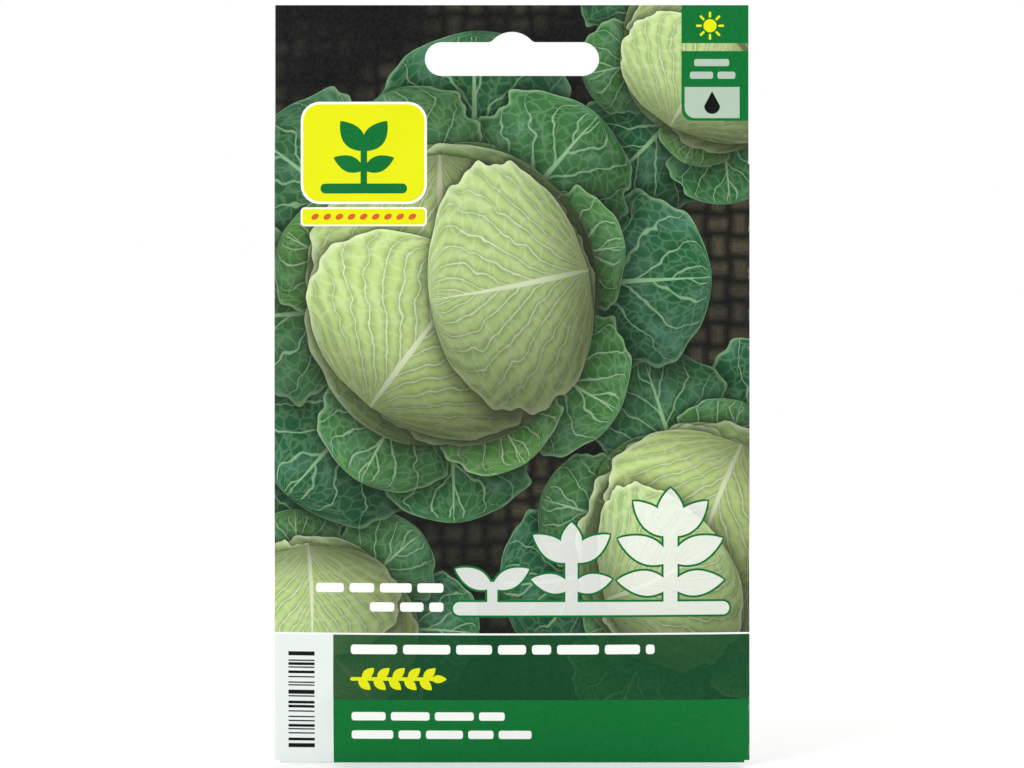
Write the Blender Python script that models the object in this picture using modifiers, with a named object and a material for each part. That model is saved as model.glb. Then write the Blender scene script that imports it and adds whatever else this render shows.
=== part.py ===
"""Paper seed packet with a hang slot, standing as it hangs, in metres, +Z up, its printed front facing -Y.

One die-cut sheet is folded into a flat envelope: an inner side flap, the front panel, the back panel that closes over
the flap, and a bottom flap folded up over the back. Films of glue hold the laps, and a heap of round seeds has settled
in the bottom. The origin is the middle of the hang slot's upper edge, halfway through the header.
"""

import math
import random

import bmesh
import bpy
from mathutils import Matrix, Vector

MM = 0.001

# The packet's driving sizes.
WIDTH = 90 * MM
HEIGHT = 143.5 * MM
HEADER = 20 * MM
PAPER = 0.15 * MM
GLUE = 0.08 * MM
LAYER_STEP = 0.3 * MM
FRONT_BULGE = 3.4 * MM
BACK_BULGE = 2.4 * MM

# How the panels swell: nearly level across, fullest low down, and flat again where the header starts.
BULGE_ACROSS = 2.4
BULGE_LOW = 0.6
BULGE_UPPER_END = 6

# The hang slot: a long hole with round ends and a round hump in the middle of its upper edge.
SLOT_WIDTH = 33 * MM
SLOT_HEIGHT = 6.4 * MM
HUMP_RISE = 1.95 * MM
HUMP_RADIUS = 5 * MM
HUMP_FILLET = 1.3 * MM
SLOT_TO_TOP = 5.05 * MM
HUMP_STEPS = 6
FILLET_STEPS = 4
END_STEPS = 12
PUNCH_REACH = 2 * MM

# The flaps of the die-cut sheet.
SIDE_FLAP = 12 * MM
BACK_SETBACK = 1 * MM
FLAP_INSET = 1 * MM
FLAP_TAPER = 0.45

# Films of glue, measured inward from the edges of what they join.
GLUE_MARGIN = 1 * MM

# Seeds, lying in rows that get shorter towards the top of the heap.
SEED_RADIUS = 1 * MM
SEED_CLEARANCE = 0.3 * MM
SEED_PITCH = 1.6 * MM
SEED_RISE = 1.45 * MM
SEED_SWAY = 0.3 * MM
SEED_JITTER = 0.04 * MM
SEEDS_IN_ROWS = (25, 19, 13, 7)
SEED_SIDES = 6
SEED_RINGS = 4
SEED_HALVINGS = 30
SEED_SHARP = math.radians(75)
RANDOM_SEED = 11

# How finely the sheet is divided. Its rows crowd towards the bottom, where the packet opens fastest.
BODY_ROWS = 18
ROW_CROWDING = 1.5
PANEL_COLUMNS = 12
SIDE_FLAP_COLUMNS = 2
FOLD_STEPS = 6
FLAP_ROWS = 4
SEAM_TOP_ROW = 17

# The layers' places through the thickness, front to back.
Y_FRONT = -LAYER_STEP / 2
Y_INNER_FLAP = Y_FRONT + LAYER_STEP
Y_BACK = Y_INNER_FLAP + LAYER_STEP
Y_BACK_IN_HEADER = Y_INNER_FLAP
Y_BOTTOM_FLAP = Y_BACK + LAYER_STEP

# Fold radii and the lines that follow from them.
RIGHT_FOLD = (Y_INNER_FLAP - Y_FRONT) / 2
LEFT_FOLD = (Y_BACK - Y_FRONT) / 2
BOTTOM_FOLD = (Y_BOTTOM_FLAP - Y_FRONT) / 2
X_RIGHT = WIDTH / 2 - RIGHT_FOLD - PAPER / 2
X_LEFT = -WIDTH / 2 + LEFT_FOLD + PAPER / 2
Z_TOP = SLOT_TO_TOP
Z_FOLD = Z_TOP - HEIGHT + BOTTOM_FOLD + PAPER / 2
BODY = Z_TOP - HEADER - Z_FOLD

COLOURS = {
    "printed_paper": ((0.30, 0.45, 0.16), 0.45),
    "glue": ((0.85, 0.83, 0.74), 0.35),
    "seed": ((0.10, 0.055, 0.03), 0.6),
}


def clear_scene():
    """Start from an empty file."""
    for thing in list(bpy.data.objects):
        bpy.data.objects.remove(thing)


def new_collection(name):
    """A collection linked to the scene."""
    made = bpy.data.collections.new(name)
    bpy.context.scene.collection.children.link(made)
    return made


def material(name):
    """The plain finish of one kind of piece."""
    colour, roughness = COLOURS[name]
    made = bpy.data.materials.new(name)
    made.use_nodes = True
    shader = made.node_tree.nodes["Principled BSDF"]
    shader.inputs["Base Color"].default_value = (*colour, 1)
    shader.inputs["Roughness"].default_value = roughness
    shader.inputs["Metallic"].default_value = 0
    return made


def new_object(name, bm, collection, finish):
    """A named object from a bmesh."""
    mesh = bpy.data.meshes.new(name)
    bm.to_mesh(mesh)
    bm.free()
    mesh.materials.append(finish)
    made = bpy.data.objects.new(name, mesh)
    collection.objects.link(made)
    return made


def smooth_step(share):
    """0 to 1 with level ends."""
    share = min(1.0, max(0.0, share))
    return share * share * (3 - 2 * share)


def bulge(x, height):
    """Share of the full bulge at x across and height above the bottom fold: none at the folds or in the header."""
    if not 0 < height < BODY:
        return 0.0
    across = 1 - min(1.0, abs(2 * x / WIDTH)) ** BULGE_ACROSS
    up = height / BODY
    return across * math.sin(math.pi * up**BULGE_LOW) * (1 - up**BULGE_UPPER_END)


def row_height(row):
    """Height of a row of the sheet above the bottom fold. The row past the body's last is the header's top edge."""
    if row > BODY_ROWS:
        return BODY + HEADER
    return BODY * (row / BODY_ROWS) ** ROW_CROWDING


def back_layer(height):
    """Where the back panel lies before it bulges: it closes onto the front in the header."""
    closing = (height - row_height(SEAM_TOP_ROW)) / (BODY - row_height(SEAM_TOP_ROW))
    return Y_BACK + (Y_BACK_IN_HEADER - Y_BACK) * smooth_step(closing)


def front_y(x, height):
    """The front panel's middle surface."""
    return Y_FRONT - FRONT_BULGE * bulge(x, height)


def back_y(x, height):
    """The back panel's middle surface."""
    return back_layer(height) + BACK_BULGE * bulge(x, height)


def spread(start, end, steps):
    """Evenly spaced values from start to end, both included."""
    return [start + (end - start) * i / steps for i in range(steps + 1)]


def fold_arc(x, y_start, y_end, side, step):
    """A point of a side fold: half a turn from one layer to the next, bulging to side."""
    radius = (y_end - y_start) / 2
    angle = math.pi * step / FOLD_STEPS
    return x + side * abs(radius) * math.sin(angle), y_start + radius * (1 - math.cos(angle))


def flap_columns():
    """Where the bottom flap's columns start, right to left, along the front panel's lower edge."""
    edge = WIDTH / 2 - FLAP_INSET
    return spread(edge, -edge, PANEL_COLUMNS)


def section(height):
    """The sheet's outline at one height, from the inner side flap's free edge round to the back panel's."""
    points = [
        (x, Y_INNER_FLAP + BACK_BULGE * bulge(x, height))
        for x in spread(WIDTH / 2 - SIDE_FLAP, X_RIGHT, SIDE_FLAP_COLUMNS)
    ]
    points += [fold_arc(X_RIGHT, Y_INNER_FLAP, Y_FRONT, 1, i) for i in range(1, FOLD_STEPS)]
    points += [(x, front_y(x, height)) for x in (X_RIGHT, *flap_columns(), X_LEFT)]
    points += [fold_arc(X_LEFT, Y_FRONT, back_layer(height), -1, i) for i in range(1, FOLD_STEPS)]
    points += [(x, back_y(x, height)) for x in back_columns()]
    return points


def back_columns():
    """The back panel's columns, left to right: the flap's own lines, then the cut edge beside the right fold."""
    return [X_LEFT, *reversed(flap_columns()[1:]), WIDTH / 2 - BACK_SETBACK]


def grid(columns, rows):
    """A bmesh grid whose corners sit on whole numbers: column along X and row along Y."""
    bm = bmesh.new()
    bmesh.ops.create_grid(bm, x_segments=columns, y_segments=rows, size=0.5)
    shift = Matrix.Translation((columns / 2, rows / 2, 0))
    bm.transform(shift @ Matrix.Diagonal((columns, rows, 1, 1)))
    return bm


def place(bm, corner):
    """Move each whole-numbered corner of a grid to its place, given by corner(column, row)."""
    for vertex in bm.verts:
        vertex.co = corner(round(vertex.co.x), round(vertex.co.y))


def wrapped_panels():
    """The side flap, front and back panels, as one strip that goes round the packet."""
    heights = [row_height(row) for row in range(BODY_ROWS + 2)]
    sections = [section(height) for height in heights]
    bm = grid(len(sections[0]) - 1, len(heights) - 1)
    first_front = SIDE_FLAP_COLUMNS + FOLD_STEPS
    above_flap = [
        face
        for face in bm.faces
        if face.calc_center_median().x < first_front and face.calc_center_median().y > SEAM_TOP_ROW
    ]
    bmesh.ops.delete(bm, geom=above_flap, context="FACES")
    place(bm, lambda column, row: Vector((*sections[row][column], Z_FOLD + heights[row])))
    return bm


def flap_corner(column, row):
    """The bottom flap: a half turn under the packet, then up over the back, narrower towards its free edge."""
    x = flap_columns()[column]
    if row <= FOLD_STEPS:
        angle = math.pi * row / FOLD_STEPS
        y = Y_FRONT + BOTTOM_FOLD * (1 - math.cos(angle))
        return Vector((x, y, Z_FOLD - BOTTOM_FOLD * math.sin(angle)))
    height = row_height(row - FOLD_STEPS)
    x *= 1 - FLAP_TAPER * height / (WIDTH / 2)
    return Vector((x, Y_BOTTOM_FLAP + BACK_BULGE * bulge(x, height), Z_FOLD + height))


def bottom_flap():
    """The bottom flap as a strip that starts on the front panel's lower edge."""
    bm = grid(PANEL_COLUMNS, FOLD_STEPS + FLAP_ROWS)
    place(bm, flap_corner)
    return bm


def thicken(thing, thickness):
    """Give a sheet its thickness, half to each side."""
    wall = thing.modifiers.new("thickness", "SOLIDIFY")
    wall.thickness = thickness
    wall.offset = 0
    wall.use_even_offset = True


def slot_outline(grow):
    """The hang slot's outline in X and Z, clockwise from the hump's top, made wider all round by grow."""
    end = SLOT_HEIGHT / 2 + grow
    middle = -HUMP_RISE - SLOT_HEIGHT / 2
    upper = middle + end
    hump, fillet = HUMP_RADIUS + grow, HUMP_FILLET - grow
    drop = upper + fillet + HUMP_RADIUS
    reach = math.sqrt((hump + fillet) ** 2 - drop**2)
    tangent = math.atan2(reach, drop)
    half = [
        (hump * math.sin(a), -HUMP_RADIUS + hump * math.cos(a))
        for a in spread(0, tangent, HUMP_STEPS)
    ]
    half += [
        (reach - fillet * math.sin(a), upper + fillet - fillet * math.cos(a))
        for a in spread(tangent, 0, FILLET_STEPS)[1:]
    ]
    x_end = SLOT_WIDTH / 2 - SLOT_HEIGHT / 2
    half += [
        (x_end + end * math.sin(a), middle + end * math.cos(a))
        for a in spread(0, math.pi, END_STEPS)
    ]
    return half + [(-x, z) for x, z in reversed(half[1:])]


def slot_cutter(name, collection, grow=0.0):
    """A plug of the slot's outline, longer than the header is thick."""
    bm = bmesh.new()
    rim = [bm.verts.new((x, -PUNCH_REACH, z)) for x, z in slot_outline(grow)]
    face = bm.faces.new(rim)
    made = bmesh.ops.extrude_face_region(bm, geom=[face])
    moved = [part for part in made["geom"] if isinstance(part, bmesh.types.BMVert)]
    bmesh.ops.translate(bm, verts=moved, vec=(0, 2 * PUNCH_REACH, 0))
    bmesh.ops.recalc_face_normals(bm, faces=bm.faces)
    mesh = bpy.data.meshes.new(name)
    bm.to_mesh(mesh)
    bm.free()
    cutter = bpy.data.objects.new(name, mesh)
    cutter.hide_render = True
    cutter.display_type = "WIRE"
    collection.objects.link(cutter)
    return cutter


def shade_round(thing):
    """Shade a curved sheet smooth: its broad faces set the normals, so that the thin cut edges stay crisp."""
    thing.data.shade_smooth()
    shading = thing.modifiers.new("shading", "WEIGHTED_NORMAL")
    shading.keep_sharp = True


def cut(thing, cutter):
    """Cut the slot through a piece."""
    hole = thing.modifiers.new("slot", "BOOLEAN")
    hole.operation = "DIFFERENCE"
    hole.solver = "EXACT"
    hole.object = cutter


def build_envelope(collection, cutters, finish):
    """The folded sheet: panels and bottom flap joined along the front's lower edge, with the slot punched."""
    bm = wrapped_panels()
    flap = bpy.data.meshes.new("bottom_flap")
    flap_mesh = bottom_flap()
    flap_mesh.to_mesh(flap)
    flap_mesh.free()
    bm.from_mesh(flap)
    bpy.data.meshes.remove(flap)
    bmesh.ops.remove_doubles(bm, verts=bm.verts, dist=PAPER / 100)
    bmesh.ops.recalc_face_normals(bm, faces=bm.faces)
    envelope = new_object("envelope", bm, collection, finish)
    thicken(envelope, PAPER)
    cut(envelope, slot_cutter("slot_punch", cutters))
    shade_round(envelope)
    return envelope


def film(name, columns, heights, layer, collection, finish):
    """A film of glue halfway to the layer behind: columns(height) gives its x lines and layer(x, height) its place."""
    bm = grid(len(columns(heights[0])) - 1, len(heights) - 1)

    def corner(column, row):
        """A corner of the film, between the layer in front and the one behind."""
        x = columns(heights[row])[column]
        return Vector((x, layer(x, heights[row]) + LAYER_STEP / 2, Z_FOLD + heights[row]))

    place(bm, corner)
    made = new_object(name, bm, collection, finish)
    thicken(made, GLUE)
    return made


def build_header_glue(collection, cutters, finish):
    """The film between the header's two layers, kept back from the slot and the cut edges."""
    edge = X_RIGHT - GLUE_MARGIN
    heights = [BODY + GLUE_MARGIN, BODY + HEADER - GLUE_MARGIN]
    made = film("header_glue", lambda _: [-edge, edge], heights, front_y, collection, finish)
    cut(made, slot_cutter("glue_punch", cutters, GLUE_MARGIN / 2))
    return made


def build_side_seam_glue(collection, finish):
    """The film between the inner side flap and the back panel."""
    lines = [x for x in flap_columns() if WIDTH / 2 - SIDE_FLAP < x < WIDTH / 2 - GLUE_MARGIN - BACK_SETBACK]
    inner = WIDTH / 2 - SIDE_FLAP + GLUE_MARGIN
    outer = WIDTH / 2 - BACK_SETBACK - GLUE_MARGIN
    columns = [inner, *sorted(lines), outer]
    heights = [row_height(row) for row in range(1, SEAM_TOP_ROW)]

    def inner_flap(x, height):
        """The side flap's middle surface, which follows the back panel."""
        return Y_INNER_FLAP + BACK_BULGE * bulge(x, height)

    return film("side_seam_glue", lambda _: columns, heights, inner_flap, collection, finish)


def build_bottom_flap_glue(collection, finish):
    """The film between the back panel and the bottom flap, one row in from the flap's fold and free edge."""
    heights = [row_height(row) for row in range(1, FLAP_ROWS)]

    def columns(height):
        """The flap's own lines at this height, without those along its side edges."""
        return [x * (1 - FLAP_TAPER * height / (WIDTH / 2)) for x in flap_columns()[1:-1]]

    return film("bottom_flap_glue", columns, heights, back_y, collection, finish)


def room(x, height):
    """The clear space between the front and back panels."""
    return back_y(x, height) - front_y(x, height) - PAPER


def lowest_place(x):
    """The height at which a seed at x stops against both panels."""
    low, high = 0.0, BODY / 4
    wanted = 2 * (SEED_RADIUS + SEED_CLEARANCE)
    for _ in range(SEED_HALVINGS):
        middle = (low + high) / 2
        if room(x, middle) < wanted:
            low = middle
        else:
            high = middle
    return high


def seed_places():
    """Centres of the seeds: each row shorter than the one below, swaying from front to back in turn."""
    draw = random.Random(RANDOM_SEED)
    places = []
    for row, count in enumerate(SEEDS_IN_ROWS):
        for i in range(count):
            x = (i - (count - 1) / 2) * SEED_PITCH
            height = lowest_place(x) + row * SEED_RISE + draw.uniform(0, SEED_JITTER)
            slack = room(x, height) / 2 - SEED_RADIUS - SEED_CLEARANCE
            sway = min(SEED_SWAY, max(0.0, slack)) * (1 if (i + row) % 2 else -1)
            middle = (front_y(x, height) + back_y(x, height)) / 2
            places.append(Vector((x + draw.uniform(-1, 1) * SEED_JITTER, middle + sway, Z_FOLD + height)))
    return places


def build_seeds(collection, finish):
    """The heap of seeds, fused where they touch into one body."""
    draw = random.Random(RANDOM_SEED)
    loose = new_collection("loose_seeds")
    for number, centre in enumerate(seed_places()):
        bm = bmesh.new()
        bmesh.ops.create_uvsphere(bm, u_segments=SEED_SIDES, v_segments=SEED_RINGS, radius=SEED_RADIUS)
        turn = Matrix.Rotation(draw.uniform(0, math.pi), 4, "Z") @ Matrix.Rotation(draw.uniform(0, math.pi), 4, "X")
        bm.transform(Matrix.Translation(centre) @ turn)
        new_object(f"seed_{number}", bm, loose, finish)
    heap = new_object("seeds", bmesh.new(), collection, finish)
    first, *others = list(loose.objects)
    heap.data = first.data
    bpy.data.objects.remove(first)
    join = heap.modifiers.new("fuse", "BOOLEAN")
    join.operation = "UNION"
    join.operand_type = "COLLECTION"
    join.collection = loose
    join.solver = "MANIFOLD"
    fused = bpy.data.meshes.new_from_object(heap.evaluated_get(bpy.context.evaluated_depsgraph_get()))
    fused.shade_smooth()
    fused.set_sharp_from_angle(angle=SEED_SHARP)
    heap.modifiers.clear()
    heap.data = fused
    for seed in others:
        bpy.data.objects.remove(seed)
    bpy.data.collections.remove(loose)
    return heap


def main():
    """Build the packet: the folded sheet, its films of glue and the seeds inside."""
    clear_scene()
    packet = new_collection("seed_packet")
    cutters = new_collection("cutters")
    paper, glue, seed = (material(name) for name in COLOURS)
    build_envelope(packet, cutters, paper)
    build_header_glue(packet, cutters, glue)
    build_side_seam_glue(packet, glue)
    build_bottom_flap_glue(packet, glue)
    build_seeds(packet, seed)


main()
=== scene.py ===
"""Looks of the paper seed packet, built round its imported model.

The packet is made here as the real one is: a die-cut sheet is printed flat, in millimetres, then folded into
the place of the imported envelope. The print is a design of this script's own: leafy heads on a dark woven
ground, with plain shapes where a packet has its lettering.
"""

import logging
import math
import random
from dataclasses import dataclass
from enum import Enum
from typing import Any, Callable, Sequence

import bpy
import numpy as np
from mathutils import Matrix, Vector, geometry, kdtree

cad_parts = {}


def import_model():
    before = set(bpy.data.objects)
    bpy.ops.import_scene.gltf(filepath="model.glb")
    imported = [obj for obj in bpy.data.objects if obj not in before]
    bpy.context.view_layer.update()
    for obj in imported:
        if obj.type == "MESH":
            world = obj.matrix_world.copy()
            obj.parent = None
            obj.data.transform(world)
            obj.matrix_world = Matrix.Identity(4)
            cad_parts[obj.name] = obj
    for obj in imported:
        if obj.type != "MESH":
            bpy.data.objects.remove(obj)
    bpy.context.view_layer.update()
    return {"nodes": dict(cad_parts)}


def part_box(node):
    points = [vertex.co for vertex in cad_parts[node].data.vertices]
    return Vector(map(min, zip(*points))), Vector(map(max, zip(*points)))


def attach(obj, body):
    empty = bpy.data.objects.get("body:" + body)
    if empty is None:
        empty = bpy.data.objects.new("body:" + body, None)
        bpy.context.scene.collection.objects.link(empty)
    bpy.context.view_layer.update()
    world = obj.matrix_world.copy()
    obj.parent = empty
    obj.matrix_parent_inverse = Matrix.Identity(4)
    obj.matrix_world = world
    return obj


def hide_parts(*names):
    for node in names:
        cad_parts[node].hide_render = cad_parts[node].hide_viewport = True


LOG = logging.getLogger("seed_packet")
MM = 0.001

SQUARE = (0.0, 0.0, 0.0, 0.0)
CORNER_STEPS = 6
CAP_POINTS = 9

Points = np.ndarray
Colour = tuple[float, float, float]
Socket = bpy.types.NodeSocket
Sockets = Sequence[tuple[str, str]]


def srgb(red: int, green: int, blue: int) -> Colour:
    """A printed colour as linear light.

    Args:
        red: its red, 0 to 255 as a screen shows it.
        green: its green.
        blue: its blue.

    Returns:
        The three shares of light.
    """
    shares = [value / 255 for value in (red, green, blue)]
    linear = [s / 12.92 if s <= 0.04045 else ((s + 0.055) / 1.055) ** 2.4 for s in shares]
    return linear[0], linear[1], linear[2]


PAPER_WHITE = srgb(240, 240, 232)
STRIP_WHITE = srgb(231, 238, 234)
INK_GREEN = srgb(0, 112, 48)
INK_DEEP_GREEN = srgb(2, 74, 36)
INK_YELLOW = srgb(230, 233, 8)
INK_PALE_GREEN = srgb(178, 198, 180)
INK_WHITE = srgb(250, 252, 248)
INK_BLACK = srgb(4, 4, 5)
INK_ORANGE = srgb(214, 96, 38)
INK_SOIL = srgb(96, 66, 44)
INK_LEAF = srgb(120, 168, 86)


class Finish(Enum):
    """The finishes of the sheet, in the order of its material slots."""

    LEAF = 0
    GROUND = 1
    SPOT = 2
    BARE = 3


def smooth_step(share: Any) -> Any:
    """0 to 1 with level ends, for a number or an array."""
    held = np.clip(share, 0.0, 1.0)
    return held * held * (3 - 2 * held)


@dataclass
class PacketShape:
    """The folded packet's shape, in millimetres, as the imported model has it.

    A place on the flat sheet is (across, up): across is the front panel's own x and runs on through the side
    folds to the back panel and the inner flap, and up is the height above the bottom fold.
    """

    width: float
    height: float
    header: float = 20.0
    paper: float = 0.15
    layer_step: float = 0.3
    front_bulge: float = 3.4
    back_bulge: float = 2.4
    bulge_across: float = 2.4
    bulge_low: float = 0.6
    bulge_upper_end: float = 6.0
    slot_to_top: float = 5.05
    slot_width: float = 33.0
    slot_height: float = 6.4
    hump_rise: float = 1.95
    hump_radius: float = 5.0
    hump_fillet: float = 1.3
    hump_steps: int = 12
    fillet_steps: int = 8
    end_steps: int = 28
    side_flap: float = 12.0
    back_setback: float = 1.0
    flap_inset: float = 1.0
    flap_taper: float = 0.45
    body_rows: int = 18
    row_crowding: float = 1.5
    flap_rows: int = 4
    seam_rows: int = 17

    def __post_init__(self) -> None:
        """Work out the layers' places, the folds' radii and the lines of the flat sheet."""
        self.y_front = -self.layer_step / 2
        self.y_inner_flap = self.y_front + self.layer_step
        self.y_back = self.y_inner_flap + self.layer_step
        self.y_bottom_flap = self.y_back + self.layer_step
        self.right_fold = (self.y_inner_flap - self.y_front) / 2
        self.left_fold = (self.y_back - self.y_front) / 2
        self.bottom_fold = (self.y_bottom_flap - self.y_front) / 2
        self.x_right = self.width / 2 - self.right_fold - self.paper / 2
        self.x_left = -self.width / 2 + self.left_fold + self.paper / 2
        self.z_fold = self.slot_to_top - self.height + self.bottom_fold + self.paper / 2
        self.top = self.slot_to_top - self.z_fold
        self.body = self.top - self.header
        self.seam_top = self.row_height(self.seam_rows)
        self.flap_edge = self.width / 2 - self.flap_inset
        self.flap_height = self.row_height(self.flap_rows)
        self.across_back_right = self.x_left - math.pi * self.left_fold
        self.across_back_left = self.across_back_right - (self.width / 2 - self.back_setback - self.x_left)
        self.across_flap_start = self.x_right + math.pi * self.right_fold
        self.across_flap_end = self.across_flap_start + self.x_right - (self.width / 2 - self.side_flap)

    def row_height(self, row: int) -> float:
        """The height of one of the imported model's rows."""
        return self.body * (row / self.body_rows) ** self.row_crowding

    def flap_half_width(self, up: Any) -> Any:
        """Half the bottom flap's width at a height behind the packet."""
        return self.flap_edge * (1 - self.flap_taper * up / (self.width / 2))

    def bulge(self, x: Points, up: Points) -> Points:
        """Share of the full bulge: nothing at the folds or in the header.

        Args:
            x: places across.
            up: heights above the bottom fold.

        Returns:
            0 to 1 at each place.
        """
        across = 1 - np.minimum(1.0, np.abs(2 * x / self.width)) ** self.bulge_across
        share = np.clip(up / self.body, 0.0, 1.0)
        return across * np.sin(np.pi * share**self.bulge_low) * (1 - share**self.bulge_upper_end)

    def back_layer(self, up: Points) -> Points:
        """Where the back panel lies before it bulges: it closes onto the front in the header."""
        closing = smooth_step((up - self.seam_top) / (self.body - self.seam_top))
        return self.y_back + (self.y_inner_flap - self.y_back) * closing

    def slot_outline(self, middle: float) -> Points:
        """The hang slot on the flat sheet.

        Args:
            middle: where the slot's middle lies across the sheet.

        Returns:
            Points round the slot.
        """
        end = self.slot_height / 2
        centre = -self.hump_rise - self.slot_height / 2
        upper = centre + end
        hump, fillet = self.hump_radius, self.hump_fillet
        drop = upper + fillet + hump
        reach = math.sqrt((hump + fillet) ** 2 - drop**2)
        tangent = math.atan2(reach, drop)
        half = [
            (hump * math.sin(a), hump * math.cos(a) - hump)
            for a in np.linspace(0, tangent, self.hump_steps)
        ]
        half += [
            (reach - fillet * math.sin(a), upper + fillet - fillet * math.cos(a))
            for a in np.linspace(tangent, 0, self.fillet_steps)[1:]
        ]
        x_end = self.slot_width / 2 - self.slot_height / 2
        half += [
            (x_end + end * math.sin(a), centre + end * math.cos(a))
            for a in np.linspace(0, math.pi, self.end_steps)
        ]
        outline = np.array(half + [(-x, z) for x, z in reversed(half[1:])])
        return outline + (middle, self.top - self.slot_to_top)


@dataclass(frozen=True)
class Handling:
    """The small unevenness of a filled packet: slow waves, flutes below the glued header and corner creases.

    It is nothing at the folds and in the header, so the layers never meet. Each wave is its depth, its length
    and its heading in radians, and each crease starts at a lower corner: its side and its slope.
    """

    shape: PacketShape
    waves: tuple[tuple[float, float, float], ...] = (
        (0.09, 41.0, 0.4), (0.07, 27.0, 1.9), (0.05, 19.0, 2.6),
    )
    flute_depth: float = 0.16
    flute_pitch: float = 15.0
    flute_drop: float = 9.0
    flute_length: float = 7.0
    flute_shift: float = 3.0
    creases: tuple[tuple[int, float], ...] = ((-1, 1.25), (1, 1.05))
    crease_depth: float = 0.22
    crease_width: float = 1.1
    crease_start: float = 3.0
    crease_reach: float = 24.0
    crease_rise: float = 5.0
    crease_fade: float = 14.0
    stiff_edge: float = 1.5
    stiff_foot: float = 0.9
    ease: float = 9.0
    header_ease: float = 7.0

    def mask(self, x: Points, up: Points) -> Points:
        """Where the paper is free to move.

        Args:
            x: places across.
            up: heights above the bottom fold.

        Returns:
            0 to 1 at each place.
        """
        edge = smooth_step((self.shape.width / 2 - self.stiff_edge - np.abs(x)) / self.ease)
        foot = smooth_step((up - self.stiff_foot) / self.ease)
        return edge * foot * smooth_step((self.shape.body - up) / self.header_ease)

    def offset(self, x: Points, up: Points, side: int) -> Points:
        """How far the paper stands out of its smooth shape.

        Args:
            x: places across.
            up: heights above the bottom fold.
            side: 1 for the front panel and -1 for the back.

        Returns:
            The offset outward at each place, in millimetres.
        """
        total = np.zeros_like(x)
        for depth, length, turn in self.waves:
            along = x * math.cos(turn) * side + up * math.sin(turn)
            total += depth * np.sin(2 * np.pi * along / length + turn * side)
        below = self.shape.body - up
        fade = np.exp(-(((below - self.flute_drop) / self.flute_length) ** 2))
        along = x + self.flute_shift * side
        total += self.flute_depth * fade * np.sin(2 * np.pi * along / self.flute_pitch)
        for corner, slope in self.creases:
            reach = self.shape.width / 2 - corner * x
            distance = (up - slope * reach) / math.hypot(1, slope)
            near = np.exp(-((distance / self.crease_width) ** 2) / 2)
            ends = smooth_step((reach - self.crease_start) / self.crease_rise)
            ends *= smooth_step((self.crease_reach - reach) / self.crease_fade)
            total += self.crease_depth * near * ends
        return total * self.mask(x, up)


@dataclass(frozen=True)
class FoldedSheet:
    """Folds places on the flat sheet into the packet, whose panels the seeds press out a little."""

    shape: PacketShape
    handling: Handling
    seeds: Points
    seed_press: float = 0.09
    seed_spread: float = 1.15
    press_reach: float = 6.0

    def pressed(self, x: Points, up: Points, front: bool) -> Points:
        """How far the seeds behind a panel push it out.

        Args:
            x: places across.
            up: heights above the bottom fold.
            front: whether the panel is the front one.

        Returns:
            The offset outward at each place, in millimetres.
        """
        total = np.zeros_like(x)
        low = up < self.seeds[:, 2].max() + self.press_reach
        for sx, sy, height in self.seeds:
            if (sy < self.seeds[:, 1].mean()) == front:
                far = ((x[low] - sx) ** 2 + (up[low] - height) ** 2) / self.seed_spread**2
                total[low] += self.seed_press * np.exp(-far)
        return total

    def front_y(self, x: Points, up: Points) -> Points:
        """The front panel's middle surface."""
        out = self.shape.front_bulge * self.shape.bulge(x, up) + self.pressed(x, up, True)
        return self.shape.y_front - out - self.handling.offset(x, up, 1)

    def back_out(self, x: Points, up: Points) -> Points:
        """How far the back panel and what is glued to it stand out."""
        out = self.shape.back_bulge * self.shape.bulge(x, up)
        return out + self.handling.offset(x, up, -1) + self.pressed(x, up, False)

    def fold(self, flat: Points) -> Points:
        """Fold the sheet: the left fold and back panel, the right fold and inner flap, then the bottom flap.

        Args:
            flat: points on the flat sheet, in millimetres.

        Returns:
            Their places in the row frame, in metres.
        """
        s = self.shape
        across, up = flat[:, 0], flat[:, 1]
        x, y, z = across.copy(), self.front_y(across, up), up.copy()

        turn = np.clip((s.x_left - across) / (math.pi * s.left_fold), 0, 1) * math.pi
        radius = (s.back_layer(up) - s.y_front) / 2
        left = (across < s.x_left) & (across > s.across_back_right)
        x = np.where(left, s.x_left - radius * np.sin(turn), x)
        y = np.where(left, s.y_front + radius * (1 - np.cos(turn)), y)

        back = across <= s.across_back_right
        x = np.where(back, s.x_left + s.across_back_right - across, x)
        y = np.where(back, s.back_layer(up) + self.back_out(x, up), y)

        turn = np.clip((across - s.x_right) / (math.pi * s.right_fold), 0, 1) * math.pi
        right = (across > s.x_right) & (across < s.across_flap_start)
        x = np.where(right, s.x_right + s.right_fold * np.sin(turn), x)
        y = np.where(right, s.y_front + s.right_fold * (1 - np.cos(turn)), y)

        flap = across >= s.across_flap_start
        x = np.where(flap, s.x_right + s.across_flap_start - across, x)
        y = np.where(flap, s.y_inner_flap + self.back_out(x, up), y)

        under = up < 0
        turn = np.clip(-up / (math.pi * s.bottom_fold), 0, 1) * math.pi
        rise = np.maximum(0.0, -up - math.pi * s.bottom_fold)
        behind = s.y_bottom_flap + self.back_out(across, rise)
        arc = s.y_front + s.bottom_fold * (1 - np.cos(turn))
        y = np.where(under, np.where(rise > 0, behind, arc), y)
        z = np.where(under, np.where(rise > 0, rise, -s.bottom_fold * np.sin(turn)), z)
        return np.column_stack((x, y, z + s.z_fold)) * MM


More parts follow.
